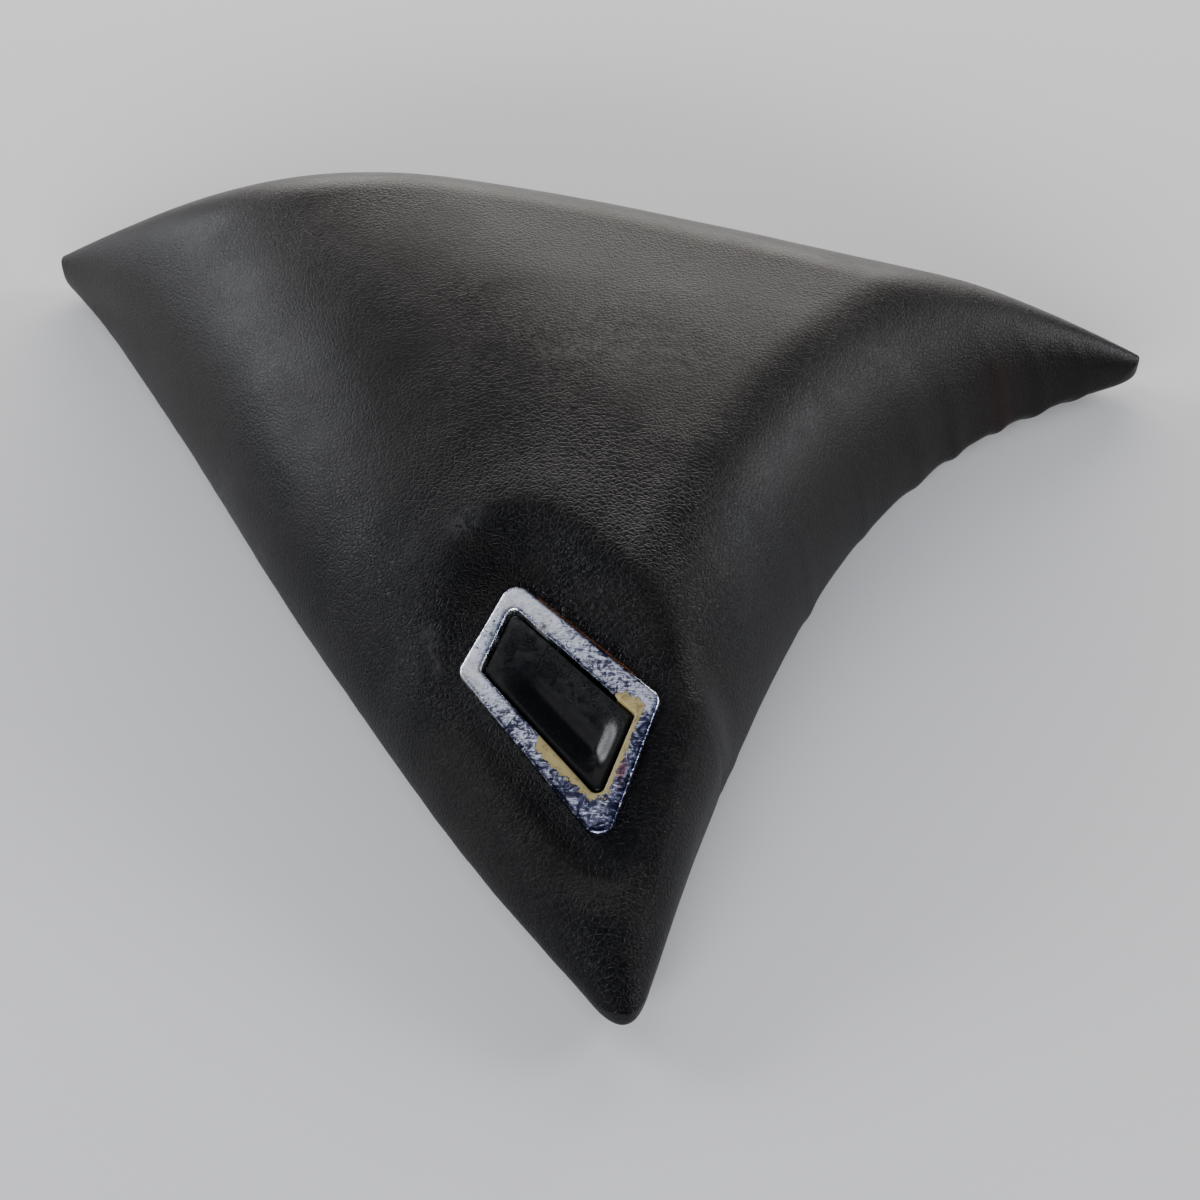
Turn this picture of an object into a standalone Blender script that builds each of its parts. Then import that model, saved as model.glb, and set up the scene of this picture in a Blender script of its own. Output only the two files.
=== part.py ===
"""Upholstered three-cornered panel with a chrome-bezelled release paddle.

Frame: metres, +Z up.  X runs along the straight rear edge, Y from the front
tip to the rear edge, Z=0 is the plane the three rubber feet stand on.
The skin, foam and moulded shell are nested; the release unit (bezel, paddle,
pin, spring, latch) sits in a tilted frame (u, v, w) near the front tip.
"""
import bpy
import bmesh
from math import sin, cos, tan, pi, radians, sqrt, atan2, exp, ceil, hypot
from mathutils import Vector, Matrix
from mathutils.geometry import delaunay_2d_cdt

# ------------------------------------------------------------------ clean
for o in list(bpy.data.objects):
    bpy.data.objects.remove(o, do_unlink=True)

# ------------------------------------------------- driving dimensions (m)
CORNER_LEFT = (-0.2085, 0.1745)      # construction corners of the plan
CORNER_RIGHT = (0.2100, 0.1722)
CORNER_TIP = (0.0740, -0.1795)
# outward offset of each edge from its chord: (fraction along, offset)
EDGE_LEFT = ((0.0, -0.0010), (0.09, -0.0040), (0.20, -0.0036), (0.33, -0.0015), (0.50, 0.0026),
             (0.68, 0.0046), (0.85, 0.0036), (0.95, 0.0), (1.0, -0.0015))
EDGE_RIGHT = ((0.0, -0.0010), (0.07, -0.0083), (0.15, -0.0170), (0.28, -0.0293), (0.42, -0.0402),
              (0.56, -0.0472), (0.66, -0.0478), (0.76, -0.0435), (0.86, -0.0315), (0.93, -0.0175),
              (0.97, -0.0080), (1.0, -0.0020))
EDGE_REAR = ((0.0, 0.0), (0.12, 0.0055), (0.3, 0.0045), (0.5, 0.0045), (0.75, 0.0030), (1.0, 0.0))
CORNER_BLEND = 0.013                 # rounding of the three corners

FOOT_H = 0.0030                      # rubber feet below the hem
ROLL_R = 0.0050                      # radius of the lower edge roll
Z_RIM = FOOT_H + ROLL_R              # height of the widest line
CROWN_H = 0.074
ROLL_LEFT, ROLL_RIGHT, ROLL_REAR = 0.110, 0.040, 0.052   # widths over which the crown rises
CREST_X = -0.09
FALL_RIGHT, FALL_LEFT, FALL_FRONT = 0.365, 0.50, 0.35

SKIN_T = 0.0012
GAP = 0.0003
FOAM_T = 0.0050
SHELL_T = 0.0028
HEM_W = 0.0160                       # wrapped skin under the rim
FLANGE_W = 0.0210                    # returned flange of the shell

# release unit
UNIT_C = (0.0363, -0.0779, 0.0387)   # centre of the bezel's top face
UNIT_TILT, UNIT_TILT_AZ, UNIT_AZ = 19.8, -107.0, -41.3
BEZEL_OUT = ((-0.0270, -0.0137), (0.0452, -0.0191), (0.0214, 0.0191), (-0.0396, 0.0137))   # the dish is measured from here
BEZEL_EDGE = ((-0.0264, -0.0161), (0.0478, -0.0217), (0.0212, 0.0209), (-0.0409, 0.0154))   # the flange's outline
BEZEL_IN = ((-0.0222, -0.0108), (0.0347, -0.0127), (0.0204, 0.0119), (-0.0336, 0.0094))
BEZEL_R, BEZEL_IN_R = 0.0045, 0.0022
BEZEL_T = 0.0025
COLLAR_T, COLLAR_D = 0.0015, 0.0140
SKIN_W = -(BEZEL_T + GAP)            # skin level under the bezel
DISH = 0.026                         # width of the dished surround
PADDLE_GAP = 0.0008
HINGE_U, HINGE_W = -0.0165, -0.0100  # paddle hinge line, parallel to v
PIN_R = 0.0012
HOOK_U, HOOK_W = 0.0330, -0.0195     # latch pivot, parallel to v
HOOK_PIN_R = 0.0013
FLOOR_W = -(BEZEL_T + GAP + SKIN_T + GAP + FOAM_T + GAP + SHELL_T)   # underside of the shell in the unit

N_RAY = 64                           # points round the rim
CENTRE = (0.020, 0.050)

# ------------------------------------------------------------- materials
def material(name, rgb, rough, metal):
    m = bpy.data.materials.new(name)
    m.use_nodes = True
    b = m.node_tree.nodes["Principled BSDF"]
    b.inputs["Base Color"].default_value = (*rgb, 1)
    b.inputs["Roughness"].default_value = rough
    b.inputs["Metallic"].default_value = metal
    m.diffuse_color = (*rgb, 1)
    return m

COL = bpy.data.collections.new("padded_panel_with_release_paddle")
CUT = bpy.data.collections.new("cutters")
bpy.context.scene.collection.children.link(COL)
bpy.context.scene.collection.children.link(CUT)

def add_object(name, me, mat=None, col=None, smooth=True):
    o = bpy.data.objects.new(name, me)
    (col or COL).objects.link(o)
    if mat is not None:
        me.materials.clear()
        me.materials.append(mat)
    if smooth:
        me.shade_smooth()
        me.set_sharp_from_angle(angle=radians(32))
    if col is not None and col is not COL:
        o.hide_render = True
        o.display_type = "WIRE"
    return o

def new_mesh(name, verts, faces, fix=True):
    me = bpy.data.meshes.new(name)
    me.from_pydata([tuple(v) for v in verts], [], [tuple(f) for f in faces])
    bm = bmesh.new()
    bm.from_mesh(me)
    if fix:
        bmesh.ops.recalc_face_normals(bm, faces=bm.faces)
        if bm.calc_volume(signed=True) < 0:
            bmesh.ops.reverse_faces(bm, faces=bm.faces)
    bm.to_mesh(me)
    bm.free()
    return me

# ---------------------------------------------------------- plan outline
class Spline:
    """Natural cubic through (x, y) stations, straight beyond its ends."""
    def __init__(self, st):
        self.x = [s[0] for s in st]
        self.y = [s[1] for s in st]
        n = len(st)
        h = [self.x[i + 1] - self.x[i] for i in range(n - 1)]
        a, b, c, r = [0.0] * n, [1.0] * n, [0.0] * n, [0.0] * n
        for i in range(1, n - 1):
            a[i], b[i], c[i] = h[i - 1], 2 * (h[i - 1] + h[i]), h[i]
            r[i] = 6 * ((self.y[i + 1] - self.y[i]) / h[i] - (self.y[i] - self.y[i - 1]) / h[i - 1])
        for i in range(1, n):
            k = a[i] / b[i - 1]
            b[i] -= k * c[i - 1]
            r[i] -= k * r[i - 1]
        m = [0.0] * n
        m[-1] = r[-1] / b[-1]
        for i in range(n - 2, -1, -1):
            m[i] = (r[i] - c[i] * m[i + 1]) / b[i]
        self.m, self.h = m, h
        self.s0 = (self.y[1] - self.y[0]) / h[0] - h[0] * (2 * m[0] + m[1]) / 6
        self.s1 = (self.y[-1] - self.y[-2]) / h[-1] + h[-1] * (m[-2] + 2 * m[-1]) / 6

    def __call__(self, t):
        x, y, m = self.x, self.y, self.m
        if t <= x[0]:
            return y[0] + (t - x[0]) * self.s0
        if t >= x[-1]:
            return y[-1] + (t - x[-1]) * self.s1
        i = 0
        while t > x[i + 1]:
            i += 1
        h = self.h[i]
        a, b = (x[i + 1] - t) / h, (t - x[i]) / h
        return a * y[i] + b * y[i + 1] + ((a ** 3 - a) * m[i] + (b ** 3 - b) * m[i + 1]) * h * h / 6

class Side:
    """One edge of the plan; depth(x, y) is the distance inside it."""
    def __init__(self, p, q, st):
        self.p = p
        dx, dy = q[0] - p[0], q[1] - p[1]
        self.len = hypot(dx, dy)
        self.d = (dx / self.len, dy / self.len)
        self.n = (self.d[1], -self.d[0])
        self.h = Spline(st)

    def depth(self, x, y):
        qx, qy = x - self.p[0], y - self.p[1]
        t = (qx * self.d[0] + qy * self.d[1]) / self.len
        e = 1e-4
        s = (self.h(t + e) - self.h(t - e)) / (2 * e) / self.len
        return (self.h(t) - (qx * self.n[0] + qy * self.n[1])) / sqrt(1 + s * s)

    def at(self, t, inset):
        h = self.h(t) - inset
        return (self.p[0] + self.d[0] * t * self.len + self.n[0] * h,
                self.p[1] + self.d[1] * t * self.len + self.n[1] * h)

LEFT = Side(CORNER_LEFT, CORNER_TIP, EDGE_LEFT)
RIGHT = Side(CORNER_TIP, CORNER_RIGHT, EDGE_RIGHT)
REAR = Side(CORNER_RIGHT, CORNER_LEFT, EDGE_REAR)

def smin(a, b, k):
    return min(a, b) - max(k - abs(a - b), 0.0) ** 2 / (4 * k)

def inside(x, y):
    return smin(smin(LEFT.depth(x, y), RIGHT.depth(x, y), CORNER_BLEND), REAR.depth(x, y), CORNER_BLEND)

# ------------------------------------------------------- release unit frame
_t, _a, _b = radians(UNIT_TILT), radians(UNIT_TILT_AZ), radians(UNIT_AZ)
UN = Vector((sin(_t) * cos(_a), sin(_t) * sin(_a), cos(_t)))
UU = Vector((cos(_b), sin(_b), -(cos(_b) * UN.x + sin(_b) * UN.y) / UN.z)).normalized()
UV = UN.cross(UU)
UC = Vector(UNIT_C)
UNIT = Matrix(((UU.x, UV.x, UN.x, UC.x), (UU.y, UV.y, UN.y, UC.y), (UU.z, UV.z, UN.z, UC.z), (0, 0, 0, 1)))
UNIT_INV = UNIT.inverted()

def quad_gap(corners, u, v):
    """Signed distance outside a convex four-sided outline."""
    best_in, best_out, out = -1e9, 1e9, False
    n = len(corners)
    for i in range(n):
        (ax, ay), (bx, by) = corners[i], corners[(i + 1) % n]
        dx, dy = bx - ax, by - ay
        ln = hypot(dx, dy)
        s = ((u - ax) * dy - (v - ay) * dx) / ln
        if s > 0:
            out = True
        best_in = max(best_in, s)
        t = min(1, max(0, ((u - ax) * dx + (v - ay) * dy) / (ln * ln)))
        best_out = min(best_out, hypot(u - ax - dx * t, v - ay - dy * t))
    return best_out if out else best_in

def rise(s):
    s = min(max(s, 0.0), 1.0)
    return sqrt(max(0.0, 1 - (1 - s) ** 2))

def smooth(s):
    s = min(max(s, 0.0), 1.0)
    return s * s * s * (s * (6 * s - 15) + 10)

def plane_z(x, y, w):
    """Height over (x, y) of the unit's plane at level w."""
    return UC.z + (w - UN.x * (x - UC.x) - UN.y * (y - UC.y)) / UN.z

def crown(x, y):
    u = x - CREST_X
    h = CROWN_H * exp(-(FALL_RIGHT * max(u, 0) ** 2 + FALL_LEFT * min(u, 0) ** 2
                        + FALL_FRONT * max(0.10 - y, 0) ** 2) / 0.04)
    return Z_RIM + h * rise(LEFT.depth(x, y) / ROLL_LEFT) * rise(RIGHT.depth(x, y) / ROLL_RIGHT) \
        * rise(REAR.depth(x, y) / ROLL_REAR)

def top(x, y):
    """Skin surface: the crown, dished round the release unit."""
    z = crown(x, y)
    zp = plane_z(x, y, SKIN_W)
    q = UNIT_INV @ Vector((x, y, zp))
    g = quad_gap(BEZEL_OUT, q.x, q.y)
    return z + (zp - z) * (1 - smooth((g - 0.0025) / DISH))

# ----------------------------------------------------- rays and their levels
def rim_point(direction, level=0.0):
    """Point at `level` inside the outline, looking from CENTRE along a direction."""
    dx, dy = direction
    lo, hi = 0.0, 0.40
    for _ in range(34):
        m = (lo + hi) / 2
        if inside(CENTRE[0] + dx * m, CENTRE[1] + dy * m) > level:
            lo = m
        else:
            hi = m
    return (CENTRE[0] + dx * lo, CENTRE[1] + dy * lo)

CORNERS = (CORNER_RIGHT, CORNER_LEFT, CORNER_TIP)

def rim_points():
    """Points round the rim, closer together at the corners, one on each corner."""
    m = 720
    pts = [rim_point((cos(2 * pi * k / m), sin(2 * pi * k / m))) for k in range(m)]
    corner = []
    for c in CORNERS:
        a = atan2(c[1] - CENTRE[1], c[0] - CENTRE[0]) % (2 * pi)
        corner.append(round(a / (2 * pi) * m) % m)
    order = sorted(corner)
    out = []
    for j in range(3):
        s, e = order[j], order[(j + 1) % 3]
        if e <= s:
            e += m
        run = [0.0]
        for k in range(s, e):
            p, q = pts[k % m], pts[(k + 1) % m]
            near = min(hypot(p[0] - c[0], p[1] - c[1]) for c in CORNERS)
            w = 1 + 2.2 * exp(-(near / 0.022) ** 2)
            run.append(run[-1] + hypot(p[0] - q[0], p[1] - q[1]) * w)
        for i in range(RIM_COUNTS[j]):
            target = run[-1] * i / RIM_COUNTS[j]
            k = 0
            while run[k + 1] < target:
                k += 1
            f = (target - run[k]) / (run[k + 1] - run[k])
            a = 2 * pi * (s + k + f) / m
            out.append(rim_point((cos(a), sin(a))))
    return out

RIM_COUNTS = (21, 22, 21)
SPINE_MID = (0.005, 0.075)
SPINE_ENDS = ((-0.1380, 0.1400), (0.1150, 0.1420), (0.0560, -0.0780))

def aim(p):
    """Where a rim point's ray is heading: a soft nearest point on a three-armed spine."""
    best = []
    for e in SPINE_ENDS:
        dx, dy = e[0] - SPINE_MID[0], e[1] - SPINE_MID[1]
        t = ((p[0] - SPINE_MID[0]) * dx + (p[1] - SPINE_MID[1]) * dy) / (dx * dx + dy * dy)
        t = min(1, max(0, t))
        q = (SPINE_MID[0] + dx * t, SPINE_MID[1] + dy * t)
        best.append((hypot(p[0] - q[0], p[1] - q[1]), q))
    d0 = min(b[0] for b in best)
    w = [exp(-(b[0] - d0) / 0.012) for b in best]
    return (sum(k * b[1][0] for k, b in zip(w, best)) / sum(w), sum(k * b[1][1] for k, b in zip(w, best)) / sum(w))

RIM = rim_points()
AIM = [aim(p) for p in RIM]

def on_ray(i, level):
    """Point of ray i where the distance inside the outline is `level`."""
    (px, py), (qx, qy) = RIM[i], AIM[i]
    lo, hi = 0.0, 1.0
    if level <= 0:
        return RIM[i]
    for _ in range(34):
        m = (lo + hi) / 2
        if inside(px + (qx - px) * m, py + (qy - py) * m) < level:
            lo = m
        else:
            hi = m
    return (px + (qx - px) * hi, py + (qy - py) * hi)

def quad_loop(corners, radius, offset=0.0, arc=3):
    """Rounded four-sided loop, counter-clockwise, grown outward by offset."""
    n = len(corners)
    lines = []
    for i in range(n):
        a, b = Vector(corners[i]), Vector(corners[(i + 1) % n])
        d = (b - a).normalized()
        nrm = Vector((d.y, -d.x))
        lines.append((a - nrm * radius, d, nrm))
    pts = []
    for i in range(n):
        p0, d0, n0 = lines[i - 1]
        p1, d1, n1 = lines[i]
        det = d0.x * -d1.y + d1.x * d0.y
        r = p1 - p0
        s = (r.x * -d1.y + d1.x * r.y) / det
        c = p0 + d0 * s
        a0, a1 = atan2(n0.y, n0.x), atan2(n1.y, n1.x)
        while a1 < a0:
            a1 += 2 * pi
        for k in range(arc + 1):
            a = a0 + (a1 - a0) * k / arc
            pts.append((c.x + (radius + offset) * cos(a), c.y + (radius + offset) * sin(a)))
    return pts

def within(poly, x, y):
    c = False
    for k in range(len(poly)):
        (ax, ay), (bx, by) = poly[k], poly[k - 1]
        if (ay > y) != (by > y) and x < (bx - ax) * (y - ay) / (by - ay) + ax:
            c = not c
    return c

# ------------------------------------------------ nested curved surfaces
LEVELS = (0.0, 0.0009, 0.0028, 0.0065, 0.0115)
SHOULDER = 0.0200                    # one more line of points inside the last ring
OPENING = [UNIT @ Vector((u, v, SKIN_W)) for u, v in quad_loop(BEZEL_IN, BEZEL_IN_R, COLLAR_T + 0.0007, 2)]

def base_surface():
    """Skin surface sampled once: rings on the rays, then a fill to the opening."""
    verts, faces = [], []
    rings = []
    for lv in LEVELS:
        ring = []
        for i in range(N_RAY):
            x, y = on_ray(i, lv)
            ring.append(len(verts))
            verts.append(Vector((x, y, top(x, y) if lv > 0 else Z_RIM)))
        rings.append(ring)
    for a, b in zip(rings, rings[1:]):
        for i in range(N_RAY):
            j = (i + 1) % N_RAY
            # one fixed diagonal, so the nested layers fold alike
            faces.append((a[i], a[j], b[j]))
            faces.append((a[i], b[j], b[i]))
    outer = rings[-1]
    pts = [(verts[k].x, verts[k].y) for k in outer]
    n_out = len(pts)
    hole = [(p.x, p.y) for p in OPENING]
    pts += hole
    n_hole = len(hole)
    extra = []
    for off, arc in ((0.0022, 2), (0.0090, 2), (0.0165, 2), (0.0250, 2)):
        for u, v in quad_loop(BEZEL_OUT, BEZEL_R, off, arc):
            p = UNIT @ Vector((u, v, SKIN_W))
            extra.append((p.x, p.y))
        cs = quad_loop(BEZEL_OUT, BEZEL_R, off, arc)
        m = len(cs)
        for k in range(m):
            (ax, ay), (bx, by) = cs[k], cs[(k + 1) % m]
            ln = hypot(bx - ax, by - ay)
            for s in range(1, int(ln / 0.013) + 1):
                f = s / (int(ln / 0.013) + 1)
                p = UNIT @ Vector((ax + (bx - ax) * f, ay + (by - ay) * f, SKIN_W))
                extra.append((p.x, p.y))
    extra += [on_ray(i, SHOULDER) for i in range(N_RAY)]
    step = 0.0195
    rows = int(0.36 / (step * 0.866)) + 1
    for r in range(rows):
        y = -0.18 + r * step * 0.866
        for c in range(int(0.42 / step) + 1):
            extra.append((-0.21 + (c + 0.5 * (r % 2)) * step, y))
    kept = []
    lim = LEVELS[-1] + 0.0042
    for p in extra:
        if inside(*p) < lim:
            continue
        q = UNIT_INV @ Vector((p[0], p[1], plane_z(p[0], p[1], SKIN_W)))
        if quad_gap(BEZEL_OUT, q.x, q.y) < 0.0005:
            continue
        if any(hypot(p[0] - k[0], p[1] - k[1]) < 0.0075 for k in kept):
            continue
        kept.append(p)
    pts += kept
    edges = [(i, (i + 1) % n_out) for i in range(n_out)] + \
            [(n_out + i, n_out + (i + 1) % n_hole) for i in range(n_hole)]
    vo, eo, fo, ov, oe, of_ = delaunay_2d_cdt([Vector(p) for p in pts], edges, [], 0, 1e-7)
    index = []
    for k, src in enumerate(ov):
        s = src[0]
        if s < n_out:
            index.append(outer[s])
        else:
            x, y = vo[k]
            z = OPENING[s - n_out].z if s < n_out + n_hole else top(x, y)
            index.append(len(verts))
            verts.append(Vector((x, y, z)))
    hole_ids = [None] * n_hole
    for k, src in enumerate(ov):
        if n_out <= src[0] < n_out + n_hole:
            hole_ids[src[0] - n_out] = index[k]
    for f in fo:
        cx = sum(vo[k][0] for k in f) / 3
        cy = sum(vo[k][1] for k in f) / 3
        q = UNIT_INV @ Vector((cx, cy, plane_z(cx, cy, SKIN_W)))
        src = [ov[k][0] for k in f]
        if all(n_out <= s < n_out + n_hole for s in src):
            continue
        if all(s < n_out for s in src) and not within(pts[:n_out], cx, cy):
            continue
        a, b, c = (index[k] for k in f)
        va, vb, vc = verts[a], verts[b], verts[c]
        if (vb - va).cross(vc - va).z < 0:
            a, b, c = a, c, b
        faces.append((a, b, c))
    return verts, faces, rings, hole_ids

BV, BF, RINGS, HOLE = base_surface()
RING_OF = {}
for _k, _r in enumerate(RINGS):
    for _i, _id in enumerate(_r):
        RING_OF[_id] = (_k, _i)

def surface_normals():
    n = [Vector((0, 0, 0)) for _ in BV]
    for f in BF:
        p = [BV[k] for k in f]
        c = Vector((0, 0, 0))
        for k in range(len(p)):
            c += p[k].cross(p[(k + 1) % len(p)])
        if c.z < 0:
            c = -c
        for k in f:
            n[k] += c
    out = [v.normalized() for v in n]
    for i, vid in enumerate(RINGS[0]):
        h = Vector((out[vid].x, out[vid].y, 0)).normalized()
        out[vid] = h
    link = [set() for _ in BV]
    for f in BF:
        for k in range(len(f)):
            link[f[k]].add(f[k - 1])
            link[f[k - 1]].add(f[k])
    fixed = set(HOLE) | set(RINGS[0]) | set(RINGS[1]) | set(RINGS[2])
    # even out the directions so thick layers do not fold at the crest of the dish
    for _ in range(5):
        nxt = []
        for k, v in enumerate(out):
            if k in fixed:
                nxt.append(v)
                continue
            s = v * 2.0
            for q in link[k]:
                s = s + out[q] * (2.0 / len(link[k]))
            nxt.append(s.normalized())
        out = nxt
    for vid in HOLE:
        out[vid] = UN.copy()
    return out

BN = surface_normals()

def ray_taper():
    """Per ray and ring: 1 where the side wall is tall, small at the thin corners."""
    out = []
    for lv in LEVELS:
        row = []
        for i in range(N_RAY):
            x, y = on_ray(i, max(lv, 0.0125))
            row.append(min(1.0, max(0.15, (top(x, y) - Z_RIM - 0.006) / 0.020)))
        out.append(row)
    return out

TAPER = ray_taper()

def inset(i, off, foam):
    """Distance of a layer from the skin on ray i at the widest line."""
    return off + foam * TAPER[0][i]

def layer(off, foam=0.0, floor=None):
    """The base surface moved inward by off plus the local foam thickness.
    A ring point slides along its ray, and never goes back over the ring before."""
    out = [None] * len(BV)
    for i in range(N_RAY):
        gx, gy = AIM[i][0] - RIM[i][0], AIM[i][1] - RIM[i][1]
        k = hypot(gx, gy)
        gx, gy = gx / k, gy / k
        lv0, z0 = -1.0, -1.0
        for r, ring in enumerate(RINGS):
            vid = ring[i]
            nrm, p = BN[vid], BV[vid]
            d = off + foam * TAPER[r][i]
            h = hypot(nrm.x, nrm.y)
            if nrm.x * gx + nrm.y * gy > 0:
                h = -h
            lv = max(LEVELS[r] + d * h, lv0 + 0.0003)
            z = p.z - d * nrm.z
            if r <= 3:
                z = max(z, z0 + 0.0001)
            if floor is not None:
                z = max(z, floor + 0.0001 * r)
            x, y = on_ray(i, lv)
            out[vid] = Vector((x, y, z))
            lv0, z0 = lv, z
    for k, p in enumerate(BV):
        if out[k] is None:
            out[k] = p - BN[k] * (off + foam)
    return out

def rim_ring(level):
    """Ring on the rays at a level (a number, or a function of the ray)."""
    return [on_ray(i, level(i) if callable(level) else level) for i in range(N_RAY)]

def roll_rings(stops):
    """Rings under the widest line: stops are (level, z); a level may vary with the ray."""
    return [[Vector((x, y, z)) for x, y in rim_ring(lv)] for lv, z in stops]

def build_skin(name, outer, inner, close_out, close_in, mat):
    """Closed solid between two layers. close_out/close_in are extra rings
    continuing each layer below the widest line; their last rings are joined."""
    verts = list(outer) + list(inner)
    no = len(outer)
    faces = [tuple(f) for f in BF] + [tuple(no + k for k in reversed(f)) for f in BF]
    def run(start, rings, flip):
        prev = start
        for ring in rings:
            ids = []
            for v in ring:
                ids.append(len(verts))
                verts.append(v)
            for i in range(N_RAY):
                j = (i + 1) % N_RAY
                q = (prev[i], ids[i], ids[j], prev[j])
                faces.append(q if not flip else tuple(reversed(q)))
            prev = ids
        return prev
    a = run(RINGS[0], close_out, False)
    b = run([no + k for k in RINGS[0]], close_in, True)
    for i in range(N_RAY):
        j = (i + 1) % N_RAY
        faces.append((a[i], b[i], b[j], a[j]))
    h = HOLE
    for i in range(len(h)):
        j = (i + 1) % len(h)
        faces.append((h[i], h[j], no + h[j], no + h[i]))
    me = new_mesh(name, verts, faces)
    return add_object(name, me, mat)

def arc_stops(off, steps, end_level=None):
    """Lower roll from the widest line down to the hem plane, for a layer inset by off."""
    r = ROLL_R - off
    out = []
    for k in range(1, steps + 1):
        a = pi / 2 * k / steps
        out.append((off + r * (1 - cos(a)), Z_RIM - r * sin(a)))
    if end_level is not None:
        out.append((end_level, Z_RIM - r))
    return out

LEATHER = material("black_leatherette", (0.014, 0.014, 0.016), 0.5, 0.0)
FOAM = material("grey_foam", (0.22, 0.22, 0.21), 0.95, 0.0)
PLASTIC = material("black_moulding", (0.03, 0.03, 0.032), 0.55, 0.0)
CHROME = material("worn_chrome", (0.78, 0.79, 0.82), 0.12, 1.0)
GLOSSY = material("black_paddle", (0.01, 0.01, 0.011), 0.28, 0.0)
STEEL = material("zinc_steel", (0.55, 0.55, 0.53), 0.35, 1.0)
SPRING = material("spring_steel", (0.40, 0.40, 0.42), 0.3, 1.0)
RUBBER = material("black_rubber", (0.02, 0.02, 0.02), 0.8, 0.0)
NYLON = material("white_nylon", (0.62, 0.61, 0.56), 0.45, 0.0)

# skin: wraps the lower roll and runs under the rim as a hem
build_skin("cover", layer(0.0), layer(SKIN_T),
           roll_rings(arc_stops(0.0, 3, HEM_W)),
           roll_rings(arc_stops(SKIN_T, 3, HEM_W)), LEATHER)

# foam: from the opening to the widest line, thinner at the corners
f0 = SKIN_T + GAP
build_skin("foam_pad", layer(f0), layer(f0, FOAM_T), [], [], FOAM)

# shell: thin dome, a ledge under the foam, a lower roll and a returned flange
s0 = f0 + GAP
s1 = s0 + SHELL_T
ledge = Z_RIM - GAP
hem_top = Z_RIM - (ROLL_R - f0)
flange_top = hem_top + SHELL_T
shell_obj = build_skin("shell", layer(s0, FOAM_T), layer(s1, FOAM_T, flange_top + 0.0004),
                       roll_rings([(lambda i: inset(i, s0, FOAM_T), ledge), (f0, ledge - 0.0001)] +
                                  arc_stops(f0, 2) + [(FLANGE_W, hem_top), (FLANGE_W, flange_top)]),
                       roll_rings([(lambda i: inset(i, s1, FOAM_T) + 0.0006, flange_top)]), PLASTIC)

# ------------------------------------------------------------ solid helpers
def loft(loops, cap=True, ring=False):
    """Faces between loops with the same number of points."""
    n = len(loops[0])
    verts = [Vector(p) for lp in loops for p in lp]
    faces = []
    last = len(loops) if ring else len(loops) - 1
    for a in range(last):
        b = (a + 1) % len(loops)
        for i in range(n):
            j = (i + 1) % n
            faces.append((a * n + i, a * n + j, b * n + j, b * n + i))
    if cap and not ring:
        faces.append(tuple(range(n))[::-1])
        faces.append(tuple(range((len(loops) - 1) * n, len(loops) * n)))
    return verts, faces

def turned(name, profile, steps, mat, matrix):
    """Profile (radius, height) listed top to bottom down the outer side, spun about Z."""
    me = bpy.data.meshes.new(name)
    me.from_pydata([(r, 0, z) for r, z in profile], [(i, i + 1) for i in range(len(profile) - 1)], [])
    o = add_object(name, me, mat, smooth=False)
    m = o.modifiers.new("spin", "SCREW")
    m.axis, m.angle, m.screw_offset = "Z", 2 * pi, 0
    m.steps = m.render_steps = steps
    m.use_merge_vertices, m.merge_threshold = True, 0.00001
    m.use_smooth_shade = True
    o.matrix_world = matrix
    return o

def cylinder_cutter(name, radius, length, matrix, sides=12):
    bm = bmesh.new()
    bmesh.ops.create_cone(bm, cap_ends=True, segments=sides, radius1=radius, radius2=radius, depth=length)
    me = bpy.data.meshes.new(name)
    bm.to_mesh(me)
    bm.free()
    o = add_object(name, me, None, CUT, smooth=False)
    o.matrix_world = matrix
    return o

def box_mesh(name, lo, hi, matrix, col=None, mat=None):
    bm = bmesh.new()
    bmesh.ops.create_cube(bm, size=1.0)
    for v in bm.verts:
        v.co = Vector([(lo[k] + hi[k]) / 2 + v.co[k] * (hi[k] - lo[k]) for k in range(3)])
    me = bpy.data.meshes.new(name)
    bm.to_mesh(me)
    bm.free()
    o = add_object(name, me, mat, col or CUT, smooth=False)
    o.matrix_world = matrix
    return o

def boolean(o, op, other):
    m = o.modifiers.new(op.lower() + "_" + other.name, "BOOLEAN")
    m.operation, m.solver = op, "EXACT"
    m.object = other
    return m

def boolean_group(o, op, objs, name):
    c = bpy.data.collections.new(name)
    CUT.children.link(c)
    for x in objs:
        c.objects.link(x)
        CUT.objects.unlink(x)
    m = o.modifiers.new(name, "BOOLEAN")
    m.operation, m.solver, m.operand_type = op, "EXACT", "COLLECTION"
    m.collection = c
    return m

T = Matrix.Translation
ALONG_V = Matrix.Rotation(pi / 2, 4, "X")          # cylinder axis Z -> v
FLIP = Matrix.Rotation(pi, 4, "X")                 # head downwards

# -------------------------------------------------------- release unit: bezel
def lp(quad, radius, off, w, arc=4):
    return [(u, v, w) for u, v in quad_loop(quad, radius, off, arc)]

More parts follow.
